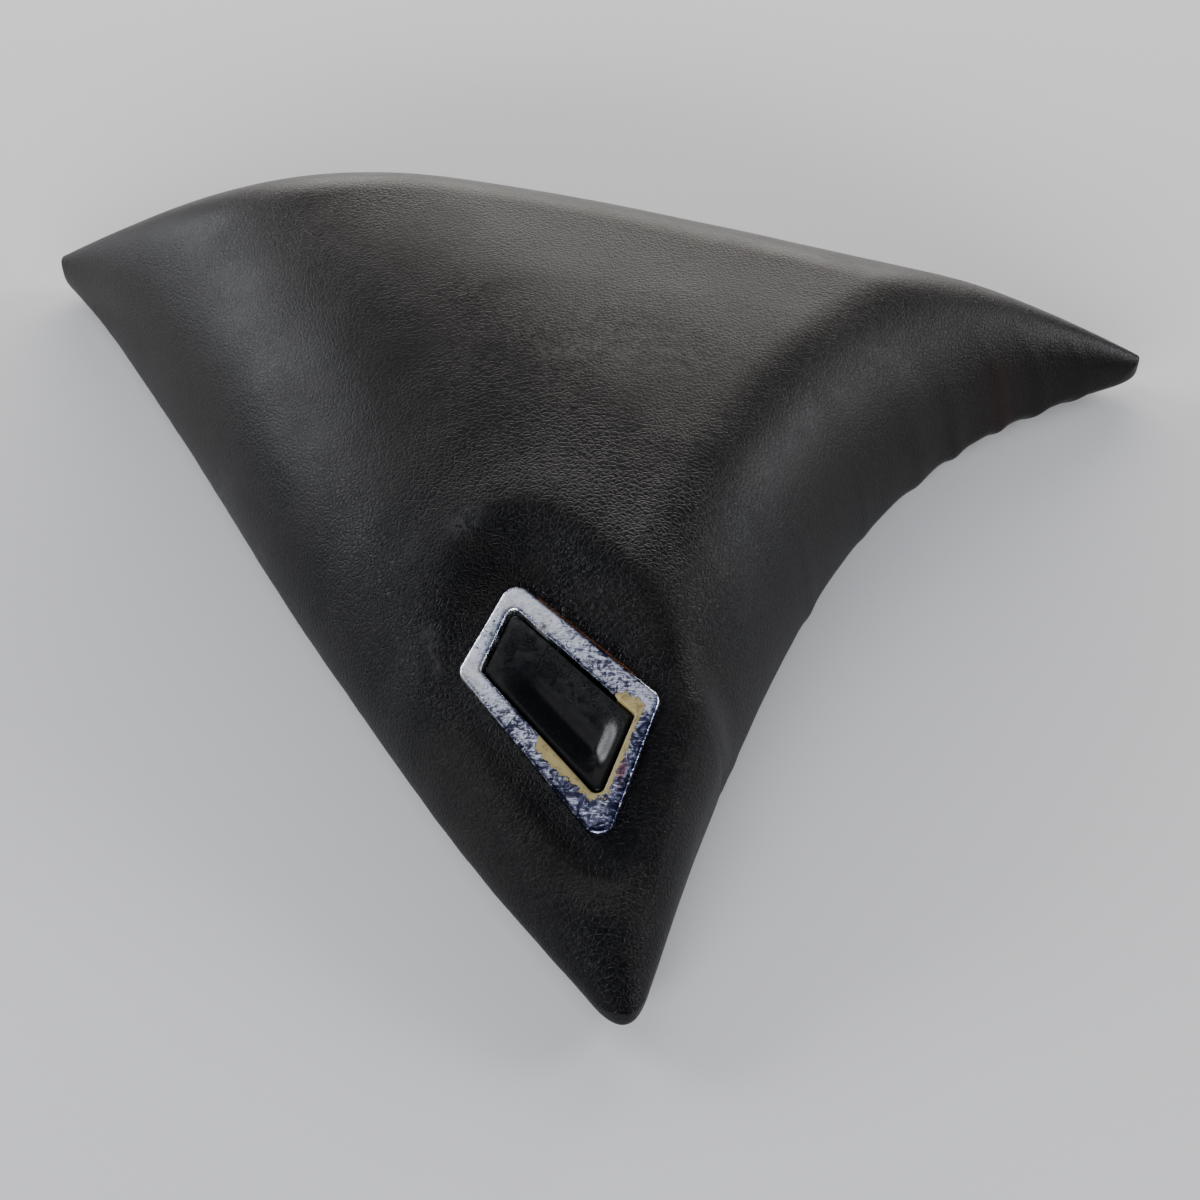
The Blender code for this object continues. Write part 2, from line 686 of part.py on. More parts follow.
bv, bf = loft([lp(BEZEL_EDGE, BEZEL_R, 0, -BEZEL_T), lp(BEZEL_EDGE, BEZEL_R, 0, -0.0007),
               lp(BEZEL_EDGE, BEZEL_R, -0.0007, 0.0), lp(BEZEL_IN, BEZEL_IN_R, 0.0005, 0.0),
               lp(BEZEL_IN, BEZEL_IN_R, 0, -0.0005), lp(BEZEL_IN, BEZEL_IN_R, 0, -COLLAR_D),
               lp(BEZEL_IN, BEZEL_IN_R, COLLAR_T, -COLLAR_D), lp(BEZEL_IN, BEZEL_IN_R, COLLAR_T, -BEZEL_T)],
              ring=True)
bezel = add_object("bezel", new_mesh("bezel", bv, bf), CHROME)
bezel.matrix_world = UNIT
hinge_m = UNIT @ T((HINGE_U, 0, HINGE_W))
boolean(bezel, "DIFFERENCE", cylinder_cutter("bezel_pin_bore", PIN_R + 0.0004, 0.040, hinge_m @ ALONG_V))

# ------------------------------------------------------- release unit: paddle
def paddle_rim(u):
    """Height of the paddle's edge: rolls off at the hinge end, lip at the free end."""
    s = (u + 0.0336) / 0.0683
    return -0.0030 + 0.0016 * smooth(s / 0.35) + 0.0011 * smooth((s - 0.55) / 0.4)

def paddle_top(u, v):
    g = -quad_gap(BEZEL_IN, u, v) - PADDLE_GAP
    s = (u + 0.0336) / 0.0683
    depth = 0.0030 * smooth((g - 0.0004) / 0.0070) * smooth((s + 0.1) / 0.45)
    return paddle_rim(u) - depth

P_FLOOR = -0.0062
ploops = [[(u, v, P_FLOOR) for u, v in quad_loop(BEZEL_IN, BEZEL_IN_R, -PADDLE_GAP, 3)],
          [(u, v, paddle_rim(u) - 0.0005) for u, v in quad_loop(BEZEL_IN, BEZEL_IN_R, -PADDLE_GAP, 3)],
          [(u, v, paddle_rim(u)) for u, v in quad_loop(BEZEL_IN, BEZEL_IN_R, -PADDLE_GAP - 0.0005, 3)]]
mid = (0.0, -0.0006)
rim_loop = quad_loop(BEZEL_IN, BEZEL_IN_R, -PADDLE_GAP - 0.0005, 3)
for f in (0.86, 0.68, 0.45, 0.2):
    ring = []
    for u, v in rim_loop:
        # shrink towards the middle line rather than a point, keeping the end shape
        cu = max(-0.018, min(0.016, u))
        uu, vv = cu + (u - cu) * f, mid[1] + (v - mid[1]) * f
        ring.append((uu, vv, paddle_top(uu, vv)))
    ploops.append(ring)
pv, pf = loft(ploops)
pv = [p - Vector((HINGE_U, 0, HINGE_W)) for p in pv]
paddle = add_object("paddle", new_mesh("paddle", pv, pf), GLOSSY)
paddle.matrix_world = hinge_m
boolean_group(paddle, "UNION", [
    box_mesh("paddle_ear_a", (-0.0030, -0.0090, -0.0030), (0.0030, -0.0064, 0.0042), hinge_m),
    box_mesh("paddle_ear_b", (-0.0030, 0.0058, -0.0030), (0.0030, 0.0084, 0.0042), hinge_m),
    box_mesh("paddle_foot", (0.0340, -0.0035, -0.0055), (0.0365, 0.0035, 0.0042), hinge_m)], "paddle_adds")
boolean(paddle, "DIFFERENCE", cylinder_cutter("paddle_pin_bore", PIN_R + 0.0004, 0.030, hinge_m @ ALONG_V))

# ------------------------------------------------------ hinge pin and spring
turned("pivot_pin", ((0, 0.0120), (PIN_R - 0.0002, 0.0120), (PIN_R, 0.0117), (PIN_R, -0.0117),
                     (PIN_R - 0.0002, -0.0120), (0, -0.0120)), 12, STEEL,
       UNIT @ T((HINGE_U, -0.0004, HINGE_W)) @ ALONG_V)

SPRING_R, WIRE_R, TURNS, PITCH = 0.0029, 0.00045, 4, 0.0019
cu = bpy.data.curves.new("torsion_spring", "CURVE")
cu.dimensions, cu.bevel_depth, cu.bevel_resolution, cu.use_fill_caps = "3D", WIRE_R, 2, True
sp = []
per = 8
v0 = -TURNS * PITCH / 2
sp.append((0.0110, v0, SPRING_R + 0.0003))
sp.append((0.0050, v0, SPRING_R + 0.0001))
for k in range(int((TURNS + 0.5) * per) + 1):
    a = pi / 2 + 2 * pi * k / per
    sp.append((SPRING_R * cos(a), v0 + PITCH * k / per, SPRING_R * sin(a)))
ve = sp[-1][1]
sp.append((0.0050 * -1, ve, -SPRING_R))
sp.append((0.0085 * -1, ve, -SPRING_R))
spl = cu.splines.new("POLY")
spl.points.add(len(sp) - 1)
for pt, c in zip(spl.points, sp):
    # the coil runs clockwise seen from +v, so the far leg leaves towards -u
    pt.co = (c[0], c[1], c[2], 1)
spring = bpy.data.objects.new("torsion_spring", cu)
COL.objects.link(spring)
cu.materials.append(SPRING)
spring.matrix_world = hinge_m

# ---------------------------------------------- latch housing, hook, hook pin
H_TOP, H_T = FLOOR_W - GAP, 0.0025
hv, hf = loft([lp(BEZEL_IN, BEZEL_IN_R, 0.0085, H_TOP, 3), lp(BEZEL_IN, BEZEL_IN_R, 0.0085, H_TOP - H_T, 3),
               lp(BEZEL_IN, BEZEL_IN_R, COLLAR_T + 0.0008, H_TOP - H_T, 3),
               lp(BEZEL_IN, BEZEL_IN_R, COLLAR_T + 0.0008, H_TOP, 3)], ring=True)
housing = add_object("latch_housing", new_mesh("latch_housing", hv, hf), NYLON)
housing.matrix_world = UNIT
hook_m = UNIT @ T((HOOK_U, 0, HOOK_W))
boolean_group(housing, "UNION", [
    box_mesh("lug_a", (-0.0030, -0.0062, -0.0032), (0.0030, -0.0042, 0.0050), hook_m),
    box_mesh("lug_b", (-0.0030, 0.0042, -0.0032), (0.0030, 0.0062, 0.0050), hook_m)], "housing_adds")
screw_at = quad_loop(BEZEL_IN, BEZEL_IN_R, 0.0054, 2)
screw_at = [screw_at[3 * j + 1] for j in range(4)]
boolean_group(housing, "DIFFERENCE",
              [cylinder_cutter("hook_pin_bore", HOOK_PIN_R + 0.0004, 0.020, hook_m @ ALONG_V)] +
              [cylinder_cutter("housing_hole_%d" % k, 0.0015, 0.010, UNIT @ T((u, v, H_TOP - 0.001)), 10)
               for k, (u, v) in enumerate(screw_at)], "housing_cuts")

hook_line = ((-0.0165, 0.0036), (-0.0020, 0.0033), (0.0028, 0.0020), (0.0033, -0.0010), (0.0026, -0.0045),
             (-0.0015, -0.0075), (-0.0060, -0.0079), (-0.0060, -0.0061), (-0.0028, -0.0053),
             (-0.0022, -0.0028), (-0.0040, 0.0), (-0.0165, 0.0014))
HOOK_HALF = 0.0030
kv, kf = loft([[(u, -HOOK_HALF, w) for u, w in hook_line], [(u, HOOK_HALF, w) for u, w in hook_line]])
hook = add_object("latch_hook", new_mesh("latch_hook", kv, kf), STEEL, smooth=False)
hook.matrix_world = hook_m
boolean(hook, "DIFFERENCE", cylinder_cutter("hook_bore", HOOK_PIN_R + 0.0004, 0.010, hook_m @ ALONG_V))
turned("hook_pin", ((0, 0.0064), (HOOK_PIN_R - 0.0002, 0.0064), (HOOK_PIN_R, 0.0061), (HOOK_PIN_R, -0.0061),
                    (HOOK_PIN_R - 0.0002, -0.0064), (0, -0.0064)), 12, STEEL, hook_m @ ALONG_V)

# -------------------------------------------------------- screws, all kinds
def screw(name, matrix, head_r, head_h, shank_r, length):
    """Pan head with a round drive recess; the shank runs down -Z from the head."""
    turned(name, ((0, head_h * 0.35), (head_r * 0.36, head_h * 0.35), (head_r * 0.42, head_h), (head_r * 0.78, head_h),
                  (head_r, head_h * 0.45), (head_r, 0), (shank_r, 0), (shank_r, -length), (0, -length)),
           8, STEEL, matrix)

for k, (u, v) in enumerate(screw_at):
    screw("housing_screw_%d" % (k + 1), UNIT @ T((u, v, H_TOP - H_T - GAP)) @ FLIP, 0.0023, 0.0014, 0.0011, 0.0049)

# --------------------------------------------------- hem strips and their screws
Z_HEM = FOOT_H
STRIP_T, STRIP_A, STRIP_B = 0.0012, 0.0100, 0.0198
strip_top = Z_HEM - GAP
shell_cuts = []
n_scr = 0
for nm, side, t0, t1 in (("hem_strip_left", LEFT, 0.17, 0.80), ("hem_strip_right", RIGHT, 0.22, 0.79),
                         ("hem_strip_rear", REAR, 0.16, 0.84)):
    loops = []
    n = 12
    for k in range(n + 1):
        t = t0 + (t1 - t0) * k / n
        a, b = side.at(t, STRIP_A), side.at(t, STRIP_B)
        loops.append([(*a, strip_top), (*b, strip_top), (*b, strip_top - STRIP_T), (*a, strip_top - STRIP_T)])
    v, f = loft(loops)
    st = add_object(nm, new_mesh(nm, v, f), STEEL, smooth=False)
    cuts = []
    for t in (t0 + 0.14 * (t1 - t0), t1 - 0.14 * (t1 - t0)):
        n_scr += 1
        x, y = side.at(t, 0.0179)
        cuts.append(cylinder_cutter("strip_hole_%d" % n_scr, 0.0015, 0.006, T((x, y, strip_top)), 10))
        shell_cuts.append(cylinder_cutter("flange_hole_%d" % n_scr, 0.0015, 0.006, T((x, y, hem_top + SHELL_T / 2)), 10))
        screw("hem_screw_%d" % n_scr, T((x, y, strip_top - STRIP_T - GAP)) @ FLIP, 0.0027, 0.0009, 0.0011, 0.0055)
    boolean_group(st, "DIFFERENCE", cuts, nm + "_cuts")

# ------------------------------------------------------------ rubber feet
def toward(corner, level):
    dx, dy = corner[0] - CENTRE[0], corner[1] - CENTRE[1]
    ln = hypot(dx, dy)
    return rim_point((dx / ln, dy / ln), level)

for nm, c in (("foot_left", CORNER_LEFT), ("foot_right", CORNER_RIGHT), ("foot_tip", CORNER_TIP)):
    x, y = toward(c, 0.0102)
    turned(nm, ((0, Z_HEM - GAP), (0.0042, Z_HEM - GAP), (0.0042, 0.0008), (0.0034, 0), (0, 0)), 14, RUBBER, T((x, y, 0)))

# ------------------------------------- shell bosses, ribs and locating tongues
def wall_mid(x, y):
    """Height of the middle of the shell wall over (x, y)."""
    e = 0.001
    gx, gy = (top(x + e, y) - top(x - e, y)) / (2 * e), (top(x, y + e) - top(x, y - e)) / (2 * e)
    k = sqrt(1 + gx * gx + gy * gy)
    d = s0 + FOAM_T + SHELL_T / 2
    # foot of the normal that passes over (x, y)
    xx, yy = x + gx / k * -d, y + gy / k * -d
    return top(xx, yy) - d / k if inside(xx, yy) > 0.004 else top(x, y) - d * k

BOSS_Z, BOSS_R0, BOSS_R1 = 0.0240, 0.0045, 0.0060
TONGUE_X = (-0.100, 0.070)
TONGUE_Y0, TONGUE_Y1, TONGUE_W, TONGUE_T = 0.094, 0.146, 0.018, 0.0020
adds = []
for i, tx in enumerate(TONGUE_X):
    holes = []
    for j, by in enumerate((0.102, 0.122)):
        nm = "boss_%d%d" % (i, j)
        ring0 = [(tx + BOSS_R0 * cos(2 * pi * k / 12), by + BOSS_R0 * sin(2 * pi * k / 12)) for k in range(12)]
        ring1 = [(tx + BOSS_R1 * cos(2 * pi * k / 12), by + BOSS_R1 * sin(2 * pi * k / 12)) for k in range(12)]
        verts = [(x, y, BOSS_Z) for x, y in ring0] + [(x, y, wall_mid(x, y)) for x, y in ring1] +                 [(tx, by, wall_mid(tx, by))]
        faces = [tuple(range(12))] + [(k, (k + 1) % 12, 12 + (k + 1) % 12, 12 + k) for k in range(12)] +                 [(12 + k, 12 + (k + 1) % 12, 24) for k in range(12)]
        adds.append(add_object(nm, new_mesh(nm, verts, faces), None, CUT, smooth=False))
        shell_cuts.append(cylinder_cutter(nm + "_bore", 0.0015, 0.024, T((tx, by, BOSS_Z)), 10))
        holes.append(cylinder_cutter("tongue_hole_%d%d" % (i, j), 0.0019, 0.008, T((tx, by, BOSS_Z)), 12))
        screw("tongue_screw_%d" % (2 * i + j + 1), T((tx, by, BOSS_Z - GAP - TONGUE_T - GAP)) @ FLIP,
              0.0032, 0.0018, 0.0011, 0.0125)
    nm = ("locating_tongue_left", "locating_tongue_right")[i]
    z1 = BOSS_Z - GAP
    hw, ch = TONGUE_W / 2, 0.004
    line = [(tx - hw, TONGUE_Y0), (tx + hw, TONGUE_Y0), (tx + hw, TONGUE_Y1 - ch), (tx + hw - ch, TONGUE_Y1),
            (tx - hw + ch, TONGUE_Y1), (tx - hw, TONGUE_Y1 - ch)]
    v, f = loft([[(x, y, z1 - TONGUE_T) for x, y in line], [(x, y, z1) for x, y in line]])
    tg = add_object(nm, new_mesh(nm, v, f), STEEL, smooth=False)
    boolean_group(tg, "DIFFERENCE", holes, nm + "_cuts")

RIB_T, RIB_H = 0.0022, 0.0090
for k, (xa, ya, xb, yb) in enumerate(((-0.100, 0.131, -0.052, 0.020), (0.070, 0.131, 0.060, 0.030),
                                      (-0.092, 0.108, 0.062, 0.108))):
    dx, dy = xb - xa, yb - ya
    ln = hypot(dx, dy)
    nx, ny = -dy / ln * RIB_T / 2, dx / ln * RIB_T / 2
    loops = []
    for s in range(11):
        f = s / 10
        x, y = xa + dx * f, ya + dy * f
        zt = wall_mid(x, y)
        zb = zt - SHELL_T / 2 - RIB_H * min(1, 0.25 + 6 * min(f, 1 - f))
        loops.append([(x - nx, y - ny, zb), (x + nx, y + ny, zb), (x + nx, y + ny, zt), (x - nx, y - ny, zt)])
    v, f = loft(loops)
    adds.append(add_object("rib_%d" % k, new_mesh("rib_%d" % k, v, f), None, CUT, smooth=False))
for a in adds:
    boolean(shell_obj, "UNION", a)
for k, (u, v) in enumerate(screw_at):
    shell_cuts.append(cylinder_cutter("shell_unit_hole_%d" % k, 0.0014, 0.0058,
                                      UNIT @ T((u, v, FLOOR_W + SHELL_T / 2)), 10))
for c in shell_cuts:
    boolean(shell_obj, "DIFFERENCE", c)

# ------------------------------------------------------------------- origin
# the origin is the middle of the footprint, at the height of the feet
ORIGIN = Vector((0.0002, 0.0048, 0.0))
for o in set(COL.all_objects) | set(CUT.all_objects):
    o.matrix_world = T(-ORIGIN) @ o.matrix_world
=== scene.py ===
from math import atan2, cos, pi, radians, sin, atan

import bpy
import bmesh
import numpy as np
from mathutils import Matrix, Vector, noise
from mathutils.geometry import delaunay_2d_cdt


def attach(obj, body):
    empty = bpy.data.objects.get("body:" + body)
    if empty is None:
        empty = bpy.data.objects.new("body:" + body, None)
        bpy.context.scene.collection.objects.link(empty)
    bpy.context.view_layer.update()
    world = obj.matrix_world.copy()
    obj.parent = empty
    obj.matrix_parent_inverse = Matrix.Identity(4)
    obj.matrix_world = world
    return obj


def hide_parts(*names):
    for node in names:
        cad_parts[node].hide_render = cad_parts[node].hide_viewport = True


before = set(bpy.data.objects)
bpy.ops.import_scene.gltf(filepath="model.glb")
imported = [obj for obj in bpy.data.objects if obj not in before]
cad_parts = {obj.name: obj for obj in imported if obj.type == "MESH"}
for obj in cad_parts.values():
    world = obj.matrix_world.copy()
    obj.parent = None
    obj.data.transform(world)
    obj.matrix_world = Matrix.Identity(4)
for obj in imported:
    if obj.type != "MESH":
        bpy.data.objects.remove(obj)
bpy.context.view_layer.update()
rng = np.random.default_rng(7)

# ---------------------------------------------------------------- shape data
ORIGIN = np.array([0.0002, 0.0048, 0.0])
CORNER_LEFT, CORNER_RIGHT, CORNER_TIP = (-0.2085, 0.1745), (0.2100, 0.1722), (0.0740, -0.1795)
EDGE_LEFT = ((0.0, -0.0010), (0.09, -0.0040), (0.20, -0.0036), (0.33, -0.0015), (0.50, 0.0026),
             (0.68, 0.0046), (0.85, 0.0036), (0.95, 0.0), (1.0, -0.0015))
EDGE_RIGHT = ((0.0, -0.0010), (0.07, -0.0083), (0.15, -0.0170), (0.28, -0.0293), (0.42, -0.0402),
              (0.56, -0.0472), (0.66, -0.0478), (0.76, -0.0435), (0.86, -0.0315), (0.93, -0.0175),
              (0.97, -0.0080), (1.0, -0.0020))
EDGE_REAR = ((0.0, 0.0), (0.12, 0.0055), (0.3, 0.0045), (0.5, 0.0045), (0.75, 0.0030), (1.0, 0.0))
BLEND, ROLL_R, Z_RIM, CROWN_H = 0.013, 0.005, 0.008, 0.074
ROLL_LEFT, ROLL_RIGHT, ROLL_REAR = 0.110, 0.040, 0.052
CREST_X, FALL_RIGHT, FALL_LEFT, FALL_FRONT = -0.09, 0.365, 0.50, 0.35
UNIT_C, UNIT_TILT, UNIT_TILT_AZ, UNIT_AZ = (0.0363, -0.0779, 0.0387), 19.8, -107.0, -41.3
BEZEL_OUT = ((-0.0270, -0.0137), (0.0452, -0.0191), (0.0214, 0.0191), (-0.0396, 0.0137))
BEZEL_EDGE = ((-0.0264, -0.0161), (0.0478, -0.0217), (0.0212, 0.0209), (-0.0409, 0.0154))
BEZEL_IN = ((-0.0222, -0.0108), (0.0347, -0.0127), (0.0204, 0.0119), (-0.0336, 0.0094))
BEZEL_R, BEZEL_IN_R, BEZEL_T, COLLAR_T, COLLAR_D = 0.0045, 0.0022, 0.0025, 0.0015, 0.0140
SKIN_W, DISH, PADDLE_GAP, HINGE_U, HINGE_W = -0.0028, 0.026, 0.0008, -0.0165, -0.0100
CENTRE = np.array([0.020, 0.050])


def natural_spline(st):
    xs, ys = np.array([s[0] for s in st]), np.array([s[1] for s in st])
    n, h = len(xs), np.diff(xs)
    a, r = np.zeros((n, n)), np.zeros(n)
    a[0, 0] = a[-1, -1] = 1
    for i in range(1, n - 1):
        a[i, i - 1], a[i, i], a[i, i + 1] = h[i - 1], 2 * (h[i - 1] + h[i]), h[i]
        r[i] = 6 * ((ys[i + 1] - ys[i]) / h[i] - (ys[i] - ys[i - 1]) / h[i - 1])
    m = np.linalg.solve(a, r)
    s0 = (ys[1] - ys[0]) / h[0] - h[0] * (2 * m[0] + m[1]) / 6
    s1 = (ys[-1] - ys[-2]) / h[-1] + h[-1] * (m[-2] + 2 * m[-1]) / 6

    def f(t):
        t = np.asarray(t, float)
        tc = np.clip(t, xs[0], xs[-1])
        i = np.clip(np.searchsorted(xs, tc) - 1, 0, n - 2)
        hh = xs[i + 1] - xs[i]
        p, q = (xs[i + 1] - tc) / hh, (tc - xs[i]) / hh
        v = p * ys[i] + q * ys[i + 1] + ((p ** 3 - p) * m[i] + (q ** 3 - q) * m[i + 1]) * hh * hh / 6
        return v + np.where(t < xs[0], (t - xs[0]) * s0, 0) + np.where(t > xs[-1], (t - xs[-1]) * s1, 0)
    return f


class Side:
    def __init__(self, p, q, st):
        self.p = np.array(p)
        d = np.array(q) - self.p
        self.len = np.linalg.norm(d)
        self.d = d / self.len
        self.n = np.array([self.d[1], -self.d[0]])
        self.h = natural_spline(st)

    def along(self, x, y):
        return ((x - self.p[0]) * self.d[0] + (y - self.p[1]) * self.d[1]) / self.len

    def depth(self, x, y):
        t = self.along(x, y)
        e = 1e-4
        s = (self.h(t + e) - self.h(t - e)) / (2 * e) / self.len
        return (self.h(t) - ((x - self.p[0]) * self.n[0] + (y - self.p[1]) * self.n[1])) / np.sqrt(1 + s * s)


LEFT = Side(CORNER_LEFT, CORNER_TIP, EDGE_LEFT)
RIGHT = Side(CORNER_TIP, CORNER_RIGHT, EDGE_RIGHT)
REAR = Side(CORNER_RIGHT, CORNER_LEFT, EDGE_REAR)


def smin(a, b, k):
    return np.minimum(a, b) - np.maximum(k - np.abs(a - b), 0.0) ** 2 / (4 * k)


def inside(x, y):
    return smin(smin(LEFT.depth(x, y), RIGHT.depth(x, y), BLEND), REAR.depth(x, y), BLEND)


_t, _a, _b = radians(UNIT_TILT), radians(UNIT_TILT_AZ), radians(UNIT_AZ)
UN = Vector((sin(_t) * cos(_a), sin(_t) * sin(_a), cos(_t)))
UU = Vector((cos(_b), sin(_b), -(cos(_b) * UN.x + sin(_b) * UN.y) / UN.z)).normalized()
UV = UN.cross(UU)
UC = Vector(UNIT_C)
MU = np.array([UU, UV, UN])          # rows: unit axes
NUC = np.array(UC)


def from_unit(p):
    """Points (u, v, w) of the release unit in the part's frame."""
    return np.asarray(p) @ MU + NUC - ORIGIN


def quad_gap(corners, u, v):
    u, v = np.asarray(u, float), np.asarray(v, float)
    best_in, best_out, out = np.full(u.shape, -1e9), np.full(u.shape, 1e9), np.zeros(u.shape, bool)
    n = len(corners)
    for i in range(n):
        (ax, ay), (bx, by) = corners[i], corners[(i + 1) % n]
        dx, dy = bx - ax, by - ay
        ln = np.hypot(dx, dy)
        s = ((u - ax) * dy - (v - ay) * dx) / ln
        out |= s > 0
        best_in = np.maximum(best_in, s)
        t = np.clip(((u - ax) * dx + (v - ay) * dy) / (ln * ln), 0, 1)
        best_out = np.minimum(best_out, np.hypot(u - ax - dx * t, v - ay - dy * t))
    return np.where(out, best_out, best_in)


def rise(s):
    s = np.clip(s, 0.0, 1.0)
    return np.sqrt(np.maximum(0.0, 1 - (1 - s) ** 2))


def smooth(s):
    s = np.clip(s, 0.0, 1.0)
    return s * s * s * (s * (6 * s - 15) + 10)


def bump1(x, c, w):
    return np.exp(-((x - c) / w) ** 2)


def crown(x, y):
    u = x - CREST_X
    h = CROWN_H * np.exp(-(FALL_RIGHT * np.maximum(u, 0) ** 2 + FALL_LEFT * np.minimum(u, 0) ** 2
                           + FALL_FRONT * np.maximum(0.10 - y, 0) ** 2) / 0.04)
    return Z_RIM + h * rise(LEFT.depth(x, y) / ROLL_LEFT) * rise(RIGHT.depth(x, y) / ROLL_RIGHT) \
        * rise(REAR.depth(x, y) / ROLL_REAR)


def unit_uv(x, y):
    """Unit coordinates (u, v) below or above (x, y), on the skin's plane in the unit."""
    zp = NUC[2] + (SKIN_W - UN.x * (x - NUC[0]) - UN.y * (y - NUC[1])) / UN.z
    d = np.stack([x - NUC[0], y - NUC[1], zp - NUC[2]], -1)
    return d @ MU[0], d @ MU[1], zp


def top(x, y):
    z = crown(x, y)
    u, v, zp = unit_uv(x, y)
    g = quad_gap(BEZEL_OUT, u, v)
    k = smooth((g - 0.0025) / DISH)
    crest = 0.0003 * np.exp(-((g - 0.030) / 0.009) ** 2) * smooth((y + 0.10) / 0.05)
    return z + (zp - z) * (1 - k) + crest


# --------------------------------------------------------------- small tools
def mesh_object(name, verts, faces, mat, smooth_angle=None):
    me = bpy.data.meshes.new(name)
    me.from_pydata([tuple(map(float, v)) for v in verts], [], [tuple(int(k) for k in f) for f in faces])
    me.materials.append(mat)
    me.shade_smooth()
    if smooth_angle:
        me.set_sharp_from_angle(angle=radians(smooth_angle))
    o = bpy.data.objects.new(name, me)
    bpy.context.scene.collection.objects.link(o)
    return o


def attribute(o, name, values):
    a = o.data.attributes.new(name, "FLOAT", "POINT")
    a.data.foreach_set("value", np.asarray(values, np.float32))


def quad_loop(corners, radius, offset=0.0, arc=8, sub=10):
    """Rounded four-sided loop, counter-clockwise, with points along its straights.
    Returns the points and, for each, side index plus fraction along."""
    n = len(corners)
    lines = []
    for i in range(n):
        a, b = Vector(corners[i]), Vector(corners[(i + 1) % n])
        d = (b - a).normalized()
        nrm = Vector((d.y, -d.x))
        lines.append((a - nrm * radius, d, nrm))
    arcs = []
    for i in range(n):
        p0, d0, n0 = lines[i - 1]
        p1, d1, n1 = lines[i]
        det = d0.x * -d1.y + d1.x * d0.y
        r = p1 - p0
        s = (r.x * -d1.y + d1.x * r.y) / det
        c = p0 + d0 * s
        a0, a1 = atan2(n0.y, n0.x), atan2(n1.y, n1.x)
        while a1 < a0:
            a1 += 2 * pi
        arcs.append([(c.x + (radius + offset) * cos(a0 + (a1 - a0) * k / arc),
                      c.y + (radius + offset) * sin(a0 + (a1 - a0) * k / arc)) for k in range(arc + 1)])
    pts, tag = [], []
    for i in range(n):
        pts += arcs[i]
        tag += [i + 0.06 * (k / arc - 0.5) for k in range(arc + 1)]
        p, q = np.array(arcs[i][-1]), np.array(arcs[(i + 1) % n][0])
        for k in range(1, sub):
            pts.append(tuple(p + (q - p) * k / sub))
            tag.append(i + 0.03 + 0.94 * k / sub)
    return np.array(pts), np.array(tag) % n


def ring_faces(loops, size, base=0, close=False):
    out = []
    rows = loops if close else loops - 1
    for r in range(rows):
        a, b = base + r * size, base + ((r + 1) % loops) * size
        for k in range(size):
            k2 = (k + 1) % size
            out.append((a + k, a + k2, b + k2, b + k))
    return out


